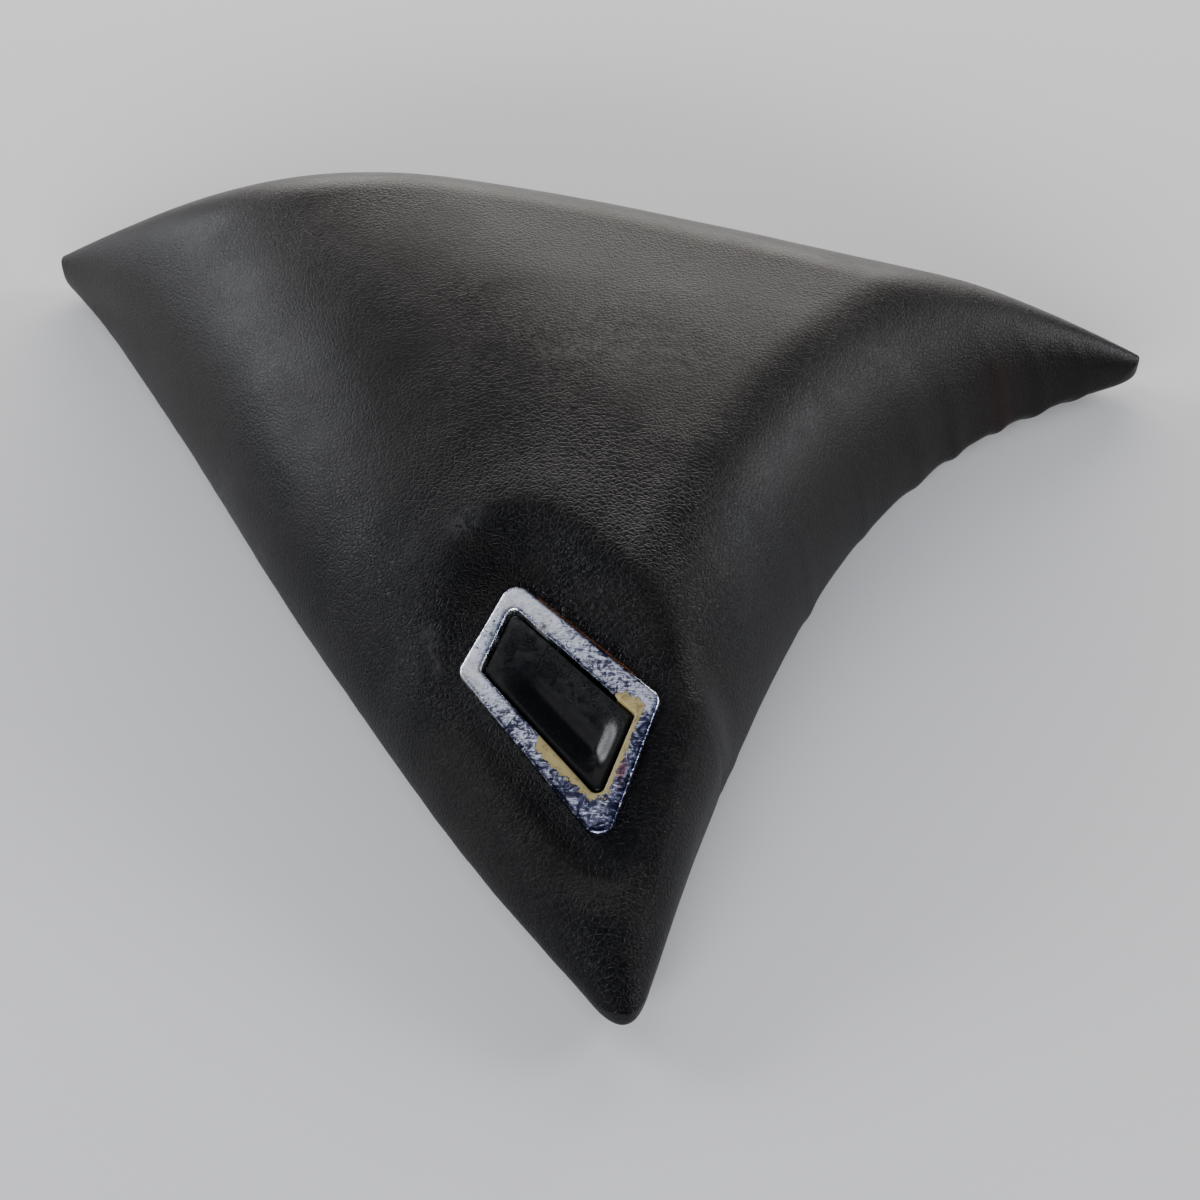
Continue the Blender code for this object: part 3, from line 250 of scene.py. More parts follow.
class Mat:
    """A procedural material: a Principled shader and a few helpers that add nodes."""
    def __init__(self, name, rgb, rough, metal=0.0, spec=0.5):
        self.m = bpy.data.materials.new(name)
        self.m.use_nodes = True
        self.t = self.m.node_tree
        self.b = self.t.nodes["Principled BSDF"]
        self.b.inputs["Base Color"].default_value = (*rgb, 1)
        self.b.inputs["Roughness"].default_value = rough
        self.b.inputs["Metallic"].default_value = metal
        self.b.inputs["Specular IOR Level"].default_value = spec
        self.m.diffuse_color = (*rgb, 1)
        self.coord = self.t.nodes.new("ShaderNodeTexCoord").outputs["Object"]

    def put(self, node, key, v):
        if isinstance(v, bpy.types.NodeSocket):
            self.t.links.new(v, node.inputs[key])
        elif v is not None:
            node.inputs[key].default_value = v

    def noise(self, scale, detail=2.0, rough=0.5, dist=0.0, vec=None):
        n = self.t.nodes.new("ShaderNodeTexNoise")
        self.put(n, "Vector", self.coord if vec is None else vec)
        n.inputs["Scale"].default_value = scale
        n.inputs["Detail"].default_value = detail
        n.inputs["Roughness"].default_value = rough
        n.inputs["Distortion"].default_value = dist
        return n.outputs["Fac"]

    def voronoi(self, scale, feature="F1", vec=None, out="Distance", rand=1.0):
        n = self.t.nodes.new("ShaderNodeTexVoronoi")
        n.feature = feature
        self.put(n, "Vector", self.coord if vec is None else vec)
        n.inputs["Scale"].default_value = scale
        n.inputs["Randomness"].default_value = rand
        return n.outputs[out]

    def wobble(self, scale, amount):
        """The coordinate moved about by noise."""
        n = self.t.nodes.new("ShaderNodeTexNoise")
        self.put(n, "Vector", self.coord)
        n.inputs["Scale"].default_value = scale
        n.inputs["Detail"].default_value = 2
        s = self.t.nodes.new("ShaderNodeVectorMath")
        s.operation = "MULTIPLY_ADD"
        self.t.links.new(n.outputs["Color"], s.inputs[0])
        s.inputs[1].default_value = (amount,) * 3
        self.t.links.new(self.coord, s.inputs[2])
        return s.outputs[0]

    def stretch(self, xyz, vec=None):
        n = self.t.nodes.new("ShaderNodeMapping")
        self.put(n, "Vector", self.coord if vec is None else vec)
        n.inputs["Scale"].default_value = xyz
        return n.outputs[0]

    def turned(self, angle, xyz):
        n = self.t.nodes.new("ShaderNodeMapping")
        self.put(n, "Vector", self.coord)
        n.inputs["Rotation"].default_value = angle
        n.inputs["Scale"].default_value = xyz
        return n.outputs[0]

    def attr(self, name):
        n = self.t.nodes.new("ShaderNodeAttribute")
        n.attribute_name = name
        return n.outputs["Fac"]

    def math(self, op, a, b=None, c=None, clamp=False):
        n = self.t.nodes.new("ShaderNodeMath")
        n.operation = op
        n.use_clamp = clamp
        self.put(n, 0, a)
        self.put(n, 1, b)
        self.put(n, 2, c)
        return n.outputs[0]

    def ramp(self, fac, lo, hi, a=0.0, b=1.0):
        n = self.t.nodes.new("ShaderNodeMapRange")
        n.interpolation_type = "SMOOTHSTEP"
        self.put(n, "Value", fac)
        n.inputs["From Min"].default_value = lo
        n.inputs["From Max"].default_value = hi
        n.inputs["To Min"].default_value = a
        n.inputs["To Max"].default_value = b
        return n.outputs[0]

    def mix(self, fac, a, b):
        n = self.t.nodes.new("ShaderNodeMix")
        n.data_type = "RGBA"
        self.put(n, 0, fac)
        for key, v in ((6, a), (7, b)):
            if isinstance(v, bpy.types.NodeSocket):
                self.t.links.new(v, n.inputs[key])
            else:
                n.inputs[key].default_value = (*v, 1)
        return n.outputs[2]

    def color(self, v):
        self.put(self.b, "Base Color", v)

    def rough(self, v):
        self.put(self.b, "Roughness", v)

    def bump(self, height, dist, strength=1.0, normal=None):
        n = self.t.nodes.new("ShaderNodeBump")
        n.inputs["Strength"].default_value = strength
        n.inputs["Distance"].default_value = dist
        self.t.links.new(height, n.inputs["Height"])
        if normal is not None:
            self.t.links.new(normal, n.inputs["Normal"])
        self.t.links.new(n.outputs[0], self.b.inputs["Normal"])
        return n.outputs[0]


# ----------------------------------------------------------------- materials
def leather_material():
    m = Mat("black_leatherette", (0.010, 0.010, 0.012), 0.40, 0, 0.14)
    w = m.wobble(420, 0.0010)
    pebble = m.ramp(m.voronoi(620, "DISTANCE_TO_EDGE", w), 0.0, 0.20)
    fine = m.ramp(m.voronoi(1700, "DISTANCE_TO_EDGE", w), 0.0, 0.25)
    broad = m.noise(34, 2, 0.55)
    tight = m.math("MULTIPLY", m.ramp(broad, 0.35, 0.65, 0.7, 1.0), m.attr("grain"))
    h = m.math("MULTIPLY", m.math("MULTIPLY_ADD", fine, 0.30, pebble), tight)
    m.bump(h, 0.00025, 0.95)
    patch = m.ramp(m.noise(26, 4, 0.6, 0.6), 0.35, 0.70)
    painted_far_sheen = m.attr("painted_far_sheen")
    grit = m.noise(190, 4, 0.75, 1.0)
    dust = m.math("MULTIPLY", m.attr("dust"), m.ramp(grit, 0.44, 0.60), clamp=True)
    scuff = m.math("MULTIPLY", m.attr("scuff"), m.ramp(grit, 0.40, 0.58), clamp=True)
    # painted sheen: the far side gets a lighter, warmer base and the near side a blue-black one, standing in for the
    # back light's sheen and the sky's reflection
    base = m.mix(painted_far_sheen, (0.0012, 0.0015, 0.0022), (0.0060, 0.0053, 0.0047))
    base = m.mix(m.math("MULTIPLY", patch, 0.35), base, (0.020, 0.017, 0.015))
    dark = m.math("MULTIPLY", m.attr("stain"), m.ramp(grit, 0.34, 0.58), clamp=True)
    base = m.mix(m.math("MULTIPLY", dark, 0.8), base, (0.002, 0.002, 0.002))
    # painted shade in the grain's creases: the base is darker where the pebble mask is low
    base = m.mix(m.math("MULTIPLY", m.math("SUBTRACT", 1.0, pebble), 0.45), base, (0.0015, 0.0015, 0.002))
    base = m.mix(m.math("MULTIPLY", dust, 0.045), base, (0.26, 0.24, 0.22))
    base = m.mix(m.math("MULTIPLY", scuff, 0.09), base, (0.33, 0.33, 0.34))
    base = m.mix(m.math("MULTIPLY", m.attr("red"), 0.05), base, (0.11, 0.010, 0.010))
    # residue beside the bezel: a brown line at its foot and black crust on the grain
    speck = m.noise(1200, 3, 0.65)
    gl = m.math("GREATER_THAN", m.math("MULTIPLY_ADD", speck, 0.9, m.attr("glue")), 1.12)
    base = m.mix(gl, base, m.mix(grit, (0.50, 0.13, 0.025), (0.20, 0.055, 0.018)))
    crust = m.math("GREATER_THAN", m.math("MULTIPLY_ADD", speck, 1.0, m.attr("crust")), 1.18)
    base = m.mix(crust, base, (0.0012, 0.0012, 0.0012))
    m.color(base)
    r = m.ramp(broad, 0.35, 0.65, 0.375, 0.40)
    r = m.math("MULTIPLY_ADD", patch, 0.02, r)
    r = m.math("MULTIPLY_ADD", dark, -0.10, r)
    r = m.math("MULTIPLY_ADD", crust, -0.22, r)
    m.rough(m.math("MULTIPLY_ADD", scuff, 0.15, r))
    return m.m


def chrome_material():
    m = Mat("worn_chrome_plating", (0.80, 0.80, 0.83), 0.10, 1.0)
    haze_and_reflection_level = m.attr("haze_and_painted_reflection")
    mott = m.noise(330, 5, 0.66, 1.8)
    swirl = m.noise(1.0, 4, 0.65, 0.8, m.turned((0, 0, 0.70), (240, 1500, 240)))
    both = m.math("ADD", m.math("MULTIPLY", mott, 0.55), m.math("MULTIPLY", swirl, 0.45))
    # painted reflection: a bright cloud painted where the attribute is high, a dark blue sky painted between the
    # scratches where it is low
    lvl = m.math("ADD", both, m.math("MULTIPLY_ADD", haze_and_reflection_level, 0.26, -0.13))
    painted_sky_reflection = m.mix(m.ramp(mott, 0.42, 0.60), (0.030, 0.034, 0.075), (0.20, 0.21, 0.34))
    base = m.mix(m.ramp(lvl, 0.425, 0.565), painted_sky_reflection, (0.80, 0.86, 1.0))
    # painted highlight: pure white where the level is highest
    base = m.mix(m.ramp(lvl, 0.56, 0.66), base, (1.0, 1.0, 1.0))
    scr = m.noise(1.0, 3, 0.6, 0.2, m.turned((0, 0, 0.75), (260, 5200, 260)))
    sm = m.ramp(scr, 0.60, 0.68)
    base = m.mix(m.math("MULTIPLY", sm, 0.5), base, (0.30, 0.32, 0.45))
    rust = m.math("MULTIPLY", m.attr("rust"), m.ramp(mott, 0.40, 0.55), clamp=True)
    base = m.mix(m.math("MULTIPLY", rust, 0.8), base, (0.34, 0.07, 0.05))
    ragged = m.noise(480, 4, 0.62, 0.4)
    peel = m.math("MULTIPLY_ADD", ragged, 0.80, m.math("SUBTRACT", m.attr("peel"), 0.40))
    pm = m.ramp(peel, -0.006, 0.006)
    lip = m.math("MULTIPLY", m.ramp(peel, -0.09, -0.01), m.ramp(peel, 0.0, 0.02, 1.0, 0.0))
    cream = m.mix(m.noise(420, 3, 0.6), (0.27, 0.21, 0.075), (0.44, 0.37, 0.17))
    cream = m.mix(m.math("MULTIPLY", m.ramp(ragged, 0.56, 0.62), 0.6), cream, (0.17, 0.11, 0.05))
    nick = m.math("MULTIPLY", m.attr("nick"), m.ramp(m.noise(1300, 3), 0.36, 0.48), clamp=True)
    base = m.mix(nick, base, (0.02, 0.018, 0.02))
    base = m.mix(m.math("MULTIPLY", lip, 0.7), base, (0.10, 0.08, 0.06))
    m.color(m.mix(pm, base, cream))
    m.put(m.b, "Metallic", m.math("SUBTRACT", 1.0, m.math("MAXIMUM", pm, m.math("MULTIPLY", nick, 0.8)), clamp=True))
    r = m.math("MULTIPLY_ADD", sm, 0.12, m.ramp(lvl, 0.45, 0.65, 0.10, 0.30))
    m.rough(m.math("MAXIMUM", r, m.math("MULTIPLY", pm, 0.40)))
    h = m.math("MULTIPLY_ADD", mott, 0.9, m.math("MULTIPLY", sm, -0.08))
    h = m.math("MULTIPLY_ADD", pm, -0.55, h)
    m.bump(h, 0.00022, 0.8)
    return m.m


def paddle_material():
    m = Mat("black_paddle_plastic", (0.010, 0.010, 0.011), 0.24, 0, 0.20)
    dust = m.attr("dust")
    fine = m.ramp(m.noise(1400, 5, 0.75, 0.5), 0.46, 0.66)
    soft = m.ramp(m.noise(210, 4, 0.6, 1.0), 0.40, 0.62)
    d = m.math("MULTIPLY", dust, m.math("MULTIPLY_ADD", soft, 0.6, m.math("MULTIPLY", fine, 0.6)), clamp=True)
    speck = m.math("MULTIPLY", m.attr("speck"), m.ramp(m.noise(2600, 3, 0.6), 0.60, 0.68), clamp=True)
    base = m.mix(m.math("MULTIPLY", d, 0.10), (0.0035, 0.0037, 0.0042), (0.30, 0.31, 0.31))
    base = m.mix(m.math("MULTIPLY", speck, 0.14), base, (0.34, 0.33, 0.32))
    crust = m.math("MULTIPLY", m.attr("crust"), m.ramp(m.noise(1900, 3, 0.6), 0.48, 0.56), clamp=True)
    base = m.mix(crust, base, (0.002, 0.002, 0.002))
    m.color(base)
    m.rough(m.math("MULTIPLY_ADD", d, 0.30, m.ramp(m.noise(300, 3), 0.3, 0.7, 0.20, 0.30)))
    h = m.math("MULTIPLY_ADD", m.noise(1900, 4, 0.7), 0.25, m.noise(240, 3))
    h = m.math("MULTIPLY_ADD", crust, 0.5, h)
    m.bump(h, 0.00014, 0.6)
    return m.m


def metal_material(name, rgb, rough, grain=900, amount=0.00006, tint=None):
    m = Mat(name, rgb, rough, 1.0)
    n = m.noise(grain, 4, 0.6)
    m.color(m.mix(m.ramp(m.noise(60, 4, 0.6), 0.35, 0.65), rgb, tint or tuple(c * 0.82 for c in rgb)))
    m.rough(m.ramp(n, 0.3, 0.7, rough * 0.75, rough * 1.25))
    m.bump(n, amount, 0.6)
    return m.m


def plastic_material(name, rgb, rough, grain, amount, vary=0.85):
    m = Mat(name, rgb, rough, 0)
    n = m.noise(grain, 4, 0.65)
    m.color(m.mix(m.ramp(m.noise(45, 4, 0.6), 0.35, 0.65), rgb, tuple(c * vary for c in rgb)))
    m.rough(m.ramp(n, 0.3, 0.7, rough * 0.88, min(1, rough * 1.1)))
    m.bump(n, amount, 0.6)
    return m.m


LEATHER = leather_material()
CHROME = chrome_material()
PADDLE = paddle_material()
SHELL = plastic_material("black_shell_plastic", (0.030, 0.030, 0.032), 0.55, 1500, 0.00008)
NYLON = plastic_material("natural_nylon", (0.60, 0.59, 0.54), 0.45, 800, 0.00005, 0.93)
RUBBER = plastic_material("foot_rubber", (0.022, 0.022, 0.022), 0.80, 900, 0.00010)
STEEL = metal_material("bright_steel", (0.62, 0.62, 0.63), 0.25)
STRIP = metal_material("zinc_coated_steel", (0.52, 0.53, 0.54), 0.42, 260, 0.00008)
SCREW = metal_material("zinc_plated_screws", (0.66, 0.64, 0.56), 0.30)
SPRING = metal_material("spring_wire", (0.40, 0.40, 0.42), 0.32)


def foam_material():
    m = Mat("padding_foam", (0.62, 0.54, 0.32), 0.9, 0, 0.2)
    c = m.voronoi(1300)
    m.color(m.mix(m.ramp(c, 0.1, 0.6), (0.42, 0.35, 0.19), (0.70, 0.62, 0.40)))
    m.bump(c, 0.0004, 0.8)
    return m.m


FOAM = foam_material()

for name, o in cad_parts.items():
    if name in ("shell",):
        mat = SHELL
    elif name.startswith("foot"):
        mat = RUBBER
    elif "screw" in name:
        mat = SCREW
    elif name.startswith(("hem_strip", "locating")):
        mat = STRIP
    elif name == "latch_housing":
        mat = NYLON
    elif name == "torsion_spring":
        mat = SPRING
    elif name in ("pivot_pin", "hook_pin", "latch_hook"):
        mat = STEEL
    else:
        continue
    o.data.materials.clear()
    o.data.materials.append(mat)


# --------------------------------------------------------------------- cover
SPINE_MID = np.array([0.005, 0.075])
SPINE_ENDS = np.array(((-0.1380, 0.1400), (0.1150, 0.1420), (0.0560, -0.0780)))


def rim_points(count):
    m = 3600
    a = 2 * pi * np.arange(m) / m
    d = np.stack([np.cos(a), np.sin(a)], -1)
    lo, hi = np.zeros(m), np.full(m, 0.40)
    for _ in range(34):
        mid = (lo + hi) / 2
        p = CENTRE + d * mid[:, None]
        ins = inside(p[:, 0], p[:, 1]) > 0
        lo, hi = np.where(ins, mid, lo), np.where(ins, hi, mid)
    p = CENTRE + d * lo[:, None]
    near = np.min([np.hypot(p[:, 0] - c[0], p[:, 1] - c[1]) for c in (CORNER_RIGHT, CORNER_LEFT, CORNER_TIP)], axis=0)
    w = (1 + 2.0 * np.exp(-(near / 0.02) ** 2))
    q = np.roll(p, -1, 0)
    run = np.concatenate([[0], np.cumsum(np.hypot(*(q - p).T) * w)])
    t = run[-1] * np.arange(count) / count
    k = np.clip(np.searchsorted(run, t, side="right") - 1, 0, m - 1)
    f = ((t - run[k]) / (run[k + 1] - run[k]))[:, None]
    return p[k] * (1 - f) + q[k] * f


RIM = rim_points(760)
_d, _q = [], []
for e in SPINE_ENDS:
    ax = e - SPINE_MID
    t = np.clip(((RIM - SPINE_MID) @ ax) / (ax @ ax), 0, 1)[:, None]
    q = SPINE_MID + ax * t
    _d.append(np.hypot(*(RIM - q).T))
    _q.append(q)
_w = np.exp(-(np.array(_d) - np.min(_d, axis=0)) / 0.012)
AIM = np.einsum("ij,ijk->jk", _w, np.array(_q)) / _w.sum(0)[:, None]


def on_ray(level):
    lo, hi = np.zeros(len(RIM)), np.ones(len(RIM))
    for _ in range(34):
        m = (lo + hi) / 2
        p = RIM + (AIM - RIM) * m[:, None]
        far = inside(p[:, 0], p[:, 1]) >= level
        lo, hi = np.where(far, lo, m), np.where(far, m, hi)
    return RIM + (AIM - RIM) * hi[:, None]


OUTWARD = (RIM - AIM) / np.linalg.norm(RIM - AIM, axis=1)[:, None]
NR = len(RIM)
along_right = RIGHT.along(RIM[:, 0], RIM[:, 1])
on_right = (RIGHT.depth(RIM[:, 0], RIM[:, 1]) < 0.0015)

# the wrapped edge stands out in soft gathers below the rim of the hollow side
GATHERS = ((0.300, 0.010, 0.0005), (0.500, 0.012, 0.0007), (0.620, 0.010, 0.0004), (0.720, 0.020, 0.0010),
           (0.775, 0.012, 0.0011), (0.835, 0.008, 0.0008), (0.880, 0.010, 0.0011), (0.925, 0.006, 0.0007))
gather = np.zeros(NR)
for c, wd, am in GATHERS:
    gather += np.where(on_right, am * bump1(along_right, c, wd), 0)
wave = np.array([noise.noise(Vector((p[0] * 90, p[1] * 90, 0.3))) for p in RIM])
pleat = np.array([abs(noise.noise(Vector((p[0] * 330, p[1] * 330, 2.3)))) for p in RIM])

rings, heights = [], []
below = []
# underside: hem from its inner edge outwards, then the roll up to the rim
for lv, z in ((0.0158, 0.0042), (0.0160, 0.0031), (0.0120, 0.0030), (0.0080, 0.0030), (0.0060, 0.0030)):
    p = on_ray(lv)
    rings.append(p)
    heights.append(np.full(NR, z) + (0.0004 * pleat if z < 0.004 else 0))
for th in (90, 75, 60, 45, 30, 15):
    a = radians(th)
    p = on_ray(ROLL_R * (1 - cos(a)))
    k = sin(a) ** 1.2
    p = p + OUTWARD * ((gather + 0.0003 * wave) * sin(min(a * 1.5, pi * 0.85)) * 1.15)[:, None]
    rings.append(p)
    heights.append(Z_RIM - ROLL_R * sin(a) - np.minimum(gather * 1.1 * k, 0.0020))
K = 15
for k in range(K + 1):
    lv = 0.0125 * (k / K) ** 1.9
    p = on_ray(lv)
    z = crown(p[:, 0], p[:, 1])
    u, v, zp = unit_uv(p[:, 0], p[:, 1])
    rings.append(p)
    heights.append(top(p[:, 0], p[:, 1]))
NRINGS = len(rings)
cv = [np.concatenate([p, h[:, None]], 1) for p, h in zip(rings, heights)]
cv = np.concatenate(cv)
faces = ring_faces(NRINGS, NR)
last = (NRINGS - 1) * NR

# interior points: an even triangular net, finer round the release unit
def net(step):
    xs = np.arange(-0.21, 0.212, step)
    ys = np.arange(-0.182, 0.182, step * 0.8660254)
    gx, gy = np.meshgrid(xs, ys)
    gx = gx + (np.arange(len(ys)) % 2)[:, None] * step / 2
    return gx.ravel(), gy.ravel()


def ring_at(corners, radius, offset, n_arc=8, sub=26):
    q, _ = quad_loop(corners, radius, offset, n_arc, sub)
    p = q @ MU[:2] + NUC + UN_SKIN
    return p[:, :2]


UN_SKIN = np.array(UN) * SKIN_W
opening = ring_at(BEZEL_IN, BEZEL_IN_R, COLLAR_T + 0.0008)
extra = [ring_at(BEZEL_OUT, BEZEL_R, off, 8, 40) for off in (-0.0012, -0.0002, 0.0008, 0.0018, 0.0026, 0.0034, 0.0042, 0.0050)]
gx, gy = net(0.0021)
u, v, _z = unit_uv(gx, gy)
g = quad_gap(BEZEL_OUT, u, v)
keep = (inside(gx, gy) > 0.0125 + 0.0012) & (g > 0.040)
fx, fy = net(0.00125)
u, v, _z = unit_uv(fx, fy)
g2 = quad_gap(BEZEL_OUT, u, v)
keep2 = (inside(fx, fy) > 0.0125 + 0.0009) & (g2 <= 0.040) & (g2 > 0.0056)
pts2 = [rings[-1], opening] + extra + [np.stack([gx[keep], gy[keep]], -1), np.stack([fx[keep2], fy[keep2]], -1)]
flat = np.concatenate(pts2)
n0, n1 = NR, len(opening)
edges = [(k, (k + 1) % n0) for k in range(n0)] + [(n0 + k, n0 + (k + 1) % n1) for k in range(n1)]
res = delaunay_2d_cdt([Vector((float(a), float(b))) for a, b in flat], edges, [], 1, 1e-7)
cverts = np.array([tuple(p) for p in res[0]])
orig = res[3]
index, add = {}, []
for k, src in enumerate(orig):
    s = [i for i in src if i < n0]
    if s:
        index[k] = last + s[0]
    else:
        index[k] = len(cv) + len(add)
        add.append(cverts[k])
add = np.array(add)
tri = np.array([f for f in res[2] if len(f) == 3])
cen = cverts[tri].mean(1)
uo, vo, _z = unit_uv(cen[:, 0], cen[:, 1])
# leave out the opening under the bezel, found by a crossing count
inop = np.zeros(len(cen), bool)
for k in range(n1):
    (x1, y1), (x2, y2) = opening[k], opening[k - 1]
    hit = ((y1 > cen[:, 1]) != (y2 > cen[:, 1]))
    with np.errstate(divide="ignore", invalid="ignore"):
        xx = (x2 - x1) * (cen[:, 1] - y1) / (y2 - y1) + x1
    inop ^= hit & (cen[:, 0] < xx)
tri = tri[~inop]
cv = np.concatenate([cv, np.concatenate([add, top(add[:, 0], add[:, 1])[:, None]], 1)])
faces += [tuple(index[k] for k in f) for f in tri]

X, Y = cv[:, 0].copy(), cv[:, 1].copy()
cover = mesh_object("leather_cover", cv - ORIGIN, faces, LEATHER)
bm = bmesh.new()
bm.from_mesh(cover.data)
bmesh.ops.delete(bm, geom=[w for w in bm.verts if not w.link_faces], context="VERTS")
bmesh.ops.recalc_face_normals(bm, faces=bm.faces)
bm.faces.ensure_lookup_table()
up = sum(f.normal.z * f.calc_area() for f in bm.faces if f.calc_center_median().z > 0.02)
if up < 0:
    bmesh.ops.reverse_faces(bm, faces=bm.faces)
bm.to_mesh(cover.data)
bm.free()

n = len(cover.data.vertices)
co = np.empty(n * 3)
cover.data.vertices.foreach_get("co", co)
co = co.reshape(-1, 3)
nor = np.empty(n * 3)
cover.data.vertex_normals.foreach_get("vector", nor)
nor = nor.reshape(-1, 3)
X, Y, Z = co[:, 0] + ORIGIN[0], co[:, 1] + ORIGIN[1], co[:, 2]
dep = inside(X, Y)
U, V, _z = unit_uv(X, Y)
G = quad_gap(BEZEL_OUT, U, V)
calm = smooth((G - 0.001) / 0.012) * np.where(Z > Z_RIM - 0.0002, 1.0, 0.0) * smooth(dep / 0.004)
# soft unevenness of padding under a stretched skin
bumpy = np.array([noise.fractal(Vector((x * 16, y * 16, 1.7)), 1.0, 2.0, 3) for x, y in zip(X, Y)])
swell = np.array([noise.noise(Vector((x * 45, y * 45, 5.1))) for x, y in zip(X, Y)])
amp = (0.00022 * bumpy + 0.00007 * swell) * calm
# tension lines that fan in from the gathered edge of the hollow side
tr = RIGHT.along(X, Y)
dr = RIGHT.depth(X, Y)
pull = np.zeros(n)
for c, wd, am in GATHERS:
    pull += am * 0.25 * bump1(tr, c, wd * 0.8) * np.exp(-dr / 0.010)
amp += pull * np.where(Z > Z_RIM - 0.0002, 1, 0)
# small creases that run in from the bezel's ends
for cu, cvv, ang, ln, am in ((-0.044, 0.012, 2.6, 0.016, 0.00030), (0.030, 0.026, 1.0, 0.014, 0.00022),
                             (0.050, -0.022, -0.6, 0.012, 0.00024)):
    du, dv = U - cu, V - cvv
    s, t = du * cos(ang) + dv * sin(ang), -du * sin(ang) + dv * cos(ang)
    amp -= am * np.exp(-(t / 0.0016) ** 2) * np.exp(-((s - ln / 2) / (ln / 2)) ** 2)
co += nor * amp[:, None]
cover.data.vertices.foreach_set("co", co.ravel())
cover.data.update()


def spot(x, y, r, q=1.0):
    """Soft round patch about a point of the part's frame."""
    return q * np.exp(-(((co[:, 0] - x) ** 2 + (co[:, 1] - y) ** 2) / (r * r)))


def streak(x0, y0, x1, y1, w, q=1.0):
    dx, dy = x1 - x0, y1 - y0
    t = np.clip(((co[:, 0] - x0) * dx + (co[:, 1] - y0) * dy) / (dx * dx + dy * dy), 0, 1)
    return q * np.exp(-(((co[:, 0] - x0 - dx * t) ** 2 + (co[:, 1] - y0 - dy * t) ** 2) / (w * w)))


# painted sheen mask: 0 on the near side, rising to 1 towards the far side
painted_far_sheen = smooth((co[:, 1] + 0.06) / 0.14)
attribute(cover, "painted_far_sheen", painted_far_sheen)
attribute(cover, "grain", 0.24 + 0.76 * np.exp(-(np.maximum(G, 0) / 0.050) ** 2))
light = spot(0.0077, 0.0426, 0.020) + spot(0.0314, 0.0524, 0.020) + spot(0.0503, 0.0541, 0.016, 0.7) + \
    spot(-0.0235, 0.0234, 0.016, 0.5) + spot(0.1011, 0.0924, 0.030, 0.4) + spot(-0.0700, 0.1079, 0.030, 0.5)
attribute(cover, "dust", np.clip(light, 0, 1))
attribute(cover, "scuff", np.clip(spot(-0.0013, -0.0294, 0.0045, 1.3) + streak(-0.006, -0.062, 0.000, -0.074, 0.0022, 0.8) +
                                  spot(-0.018, -0.034, 0.005, 0.5) + streak(0.012, 0.040, 0.034, 0.049, 0.004, 0.6), 0, 1))
attribute(cover, "stain", np.clip(streak(0.010, 0.081, 0.036, 0.083, 0.006, 1.2) + spot(0.0487, 0.0876, 0.008) + spot(-0.0168, 0.0679, 0.009, 0.9) +
                                  streak(-0.0886, 0.0416, -0.0707, 0.0041, 0.007, 1.1) + spot(-0.096, 0.0296, 0.010, 0.9) +
                                  spot(0.030, -0.045, 0.010, 0.9), 0, 1))
attribute(cover, "red", np.clip(spot(0.1539, 0.122, 0.008) + spot(-0.0752, 0.1011, 0.018, 0.35), 0, 1))
(ru, rv), (tu, tv) = BEZEL_EDGE[2], BEZEL_EDGE[3]
sd = np.hypot(tu - ru, tv - rv)
fa = ((U - ru) * (tu - ru) + (V - rv) * (tv - rv)) / sd ** 2
off = ((U - ru) * (tv - rv) - (V - rv) * (tu - ru)) / sd
glue = np.exp(-((off - 0.0004) / 0.0012) ** 2) * smooth((fa - 0.10) / 0.12) * smooth((0.92 - fa) / 0.10)
attribute(cover, "glue", glue)
crust = np.exp(-((off - 0.0030) / 0.0024) ** 2) * smooth((fa - 0.15) / 0.12) * smooth((1.0 - fa) / 0.15) * 0.82
attribute(cover, "crust", crust)
sub = cover.modifiers.new("smooth", "SUBSURF")
sub.levels = sub.render_levels = 1
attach(cover, "panel")
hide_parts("cover")

# ---------------------------------------------------------------------- foam
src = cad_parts["foam_pad"]
fm = src.data.copy()
foam = bpy.data.objects.new("padding_foam", fm)
bpy.context.scene.collection.objects.link(foam)
fm.materials.clear()
fm.materials.append(FOAM)
nf = len(fm.vertices)
fc = np.empty(nf * 3)
fm.vertices.foreach_get("co", fc)
fc = fc.reshape(-1, 3)
jit = np.array([noise.noise(Vector(tuple(p * 160))) for p in fc])
fc[:, 2] += np.minimum(0, jit) * 0.0003
fm.vertices.foreach_set("co", fc.ravel())
fm.update()
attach(foam, "panel")
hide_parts("foam_pad")

# --------------------------------------------------------------------- bezel
ARC, SUB = 10, 34
out_loop = lambda off: quad_loop(BEZEL_EDGE, BEZEL_R, off, ARC, SUB)
in_loop = lambda off: quad_loop(BEZEL_IN, BEZEL_IN_R, off, ARC, SUB)
rows, widths = [], []


def row(pts, w, band):
    rows.append(np.concatenate([pts, np.full((len(pts), 1), w)], 1))
    widths.append(np.full(len(pts), band))


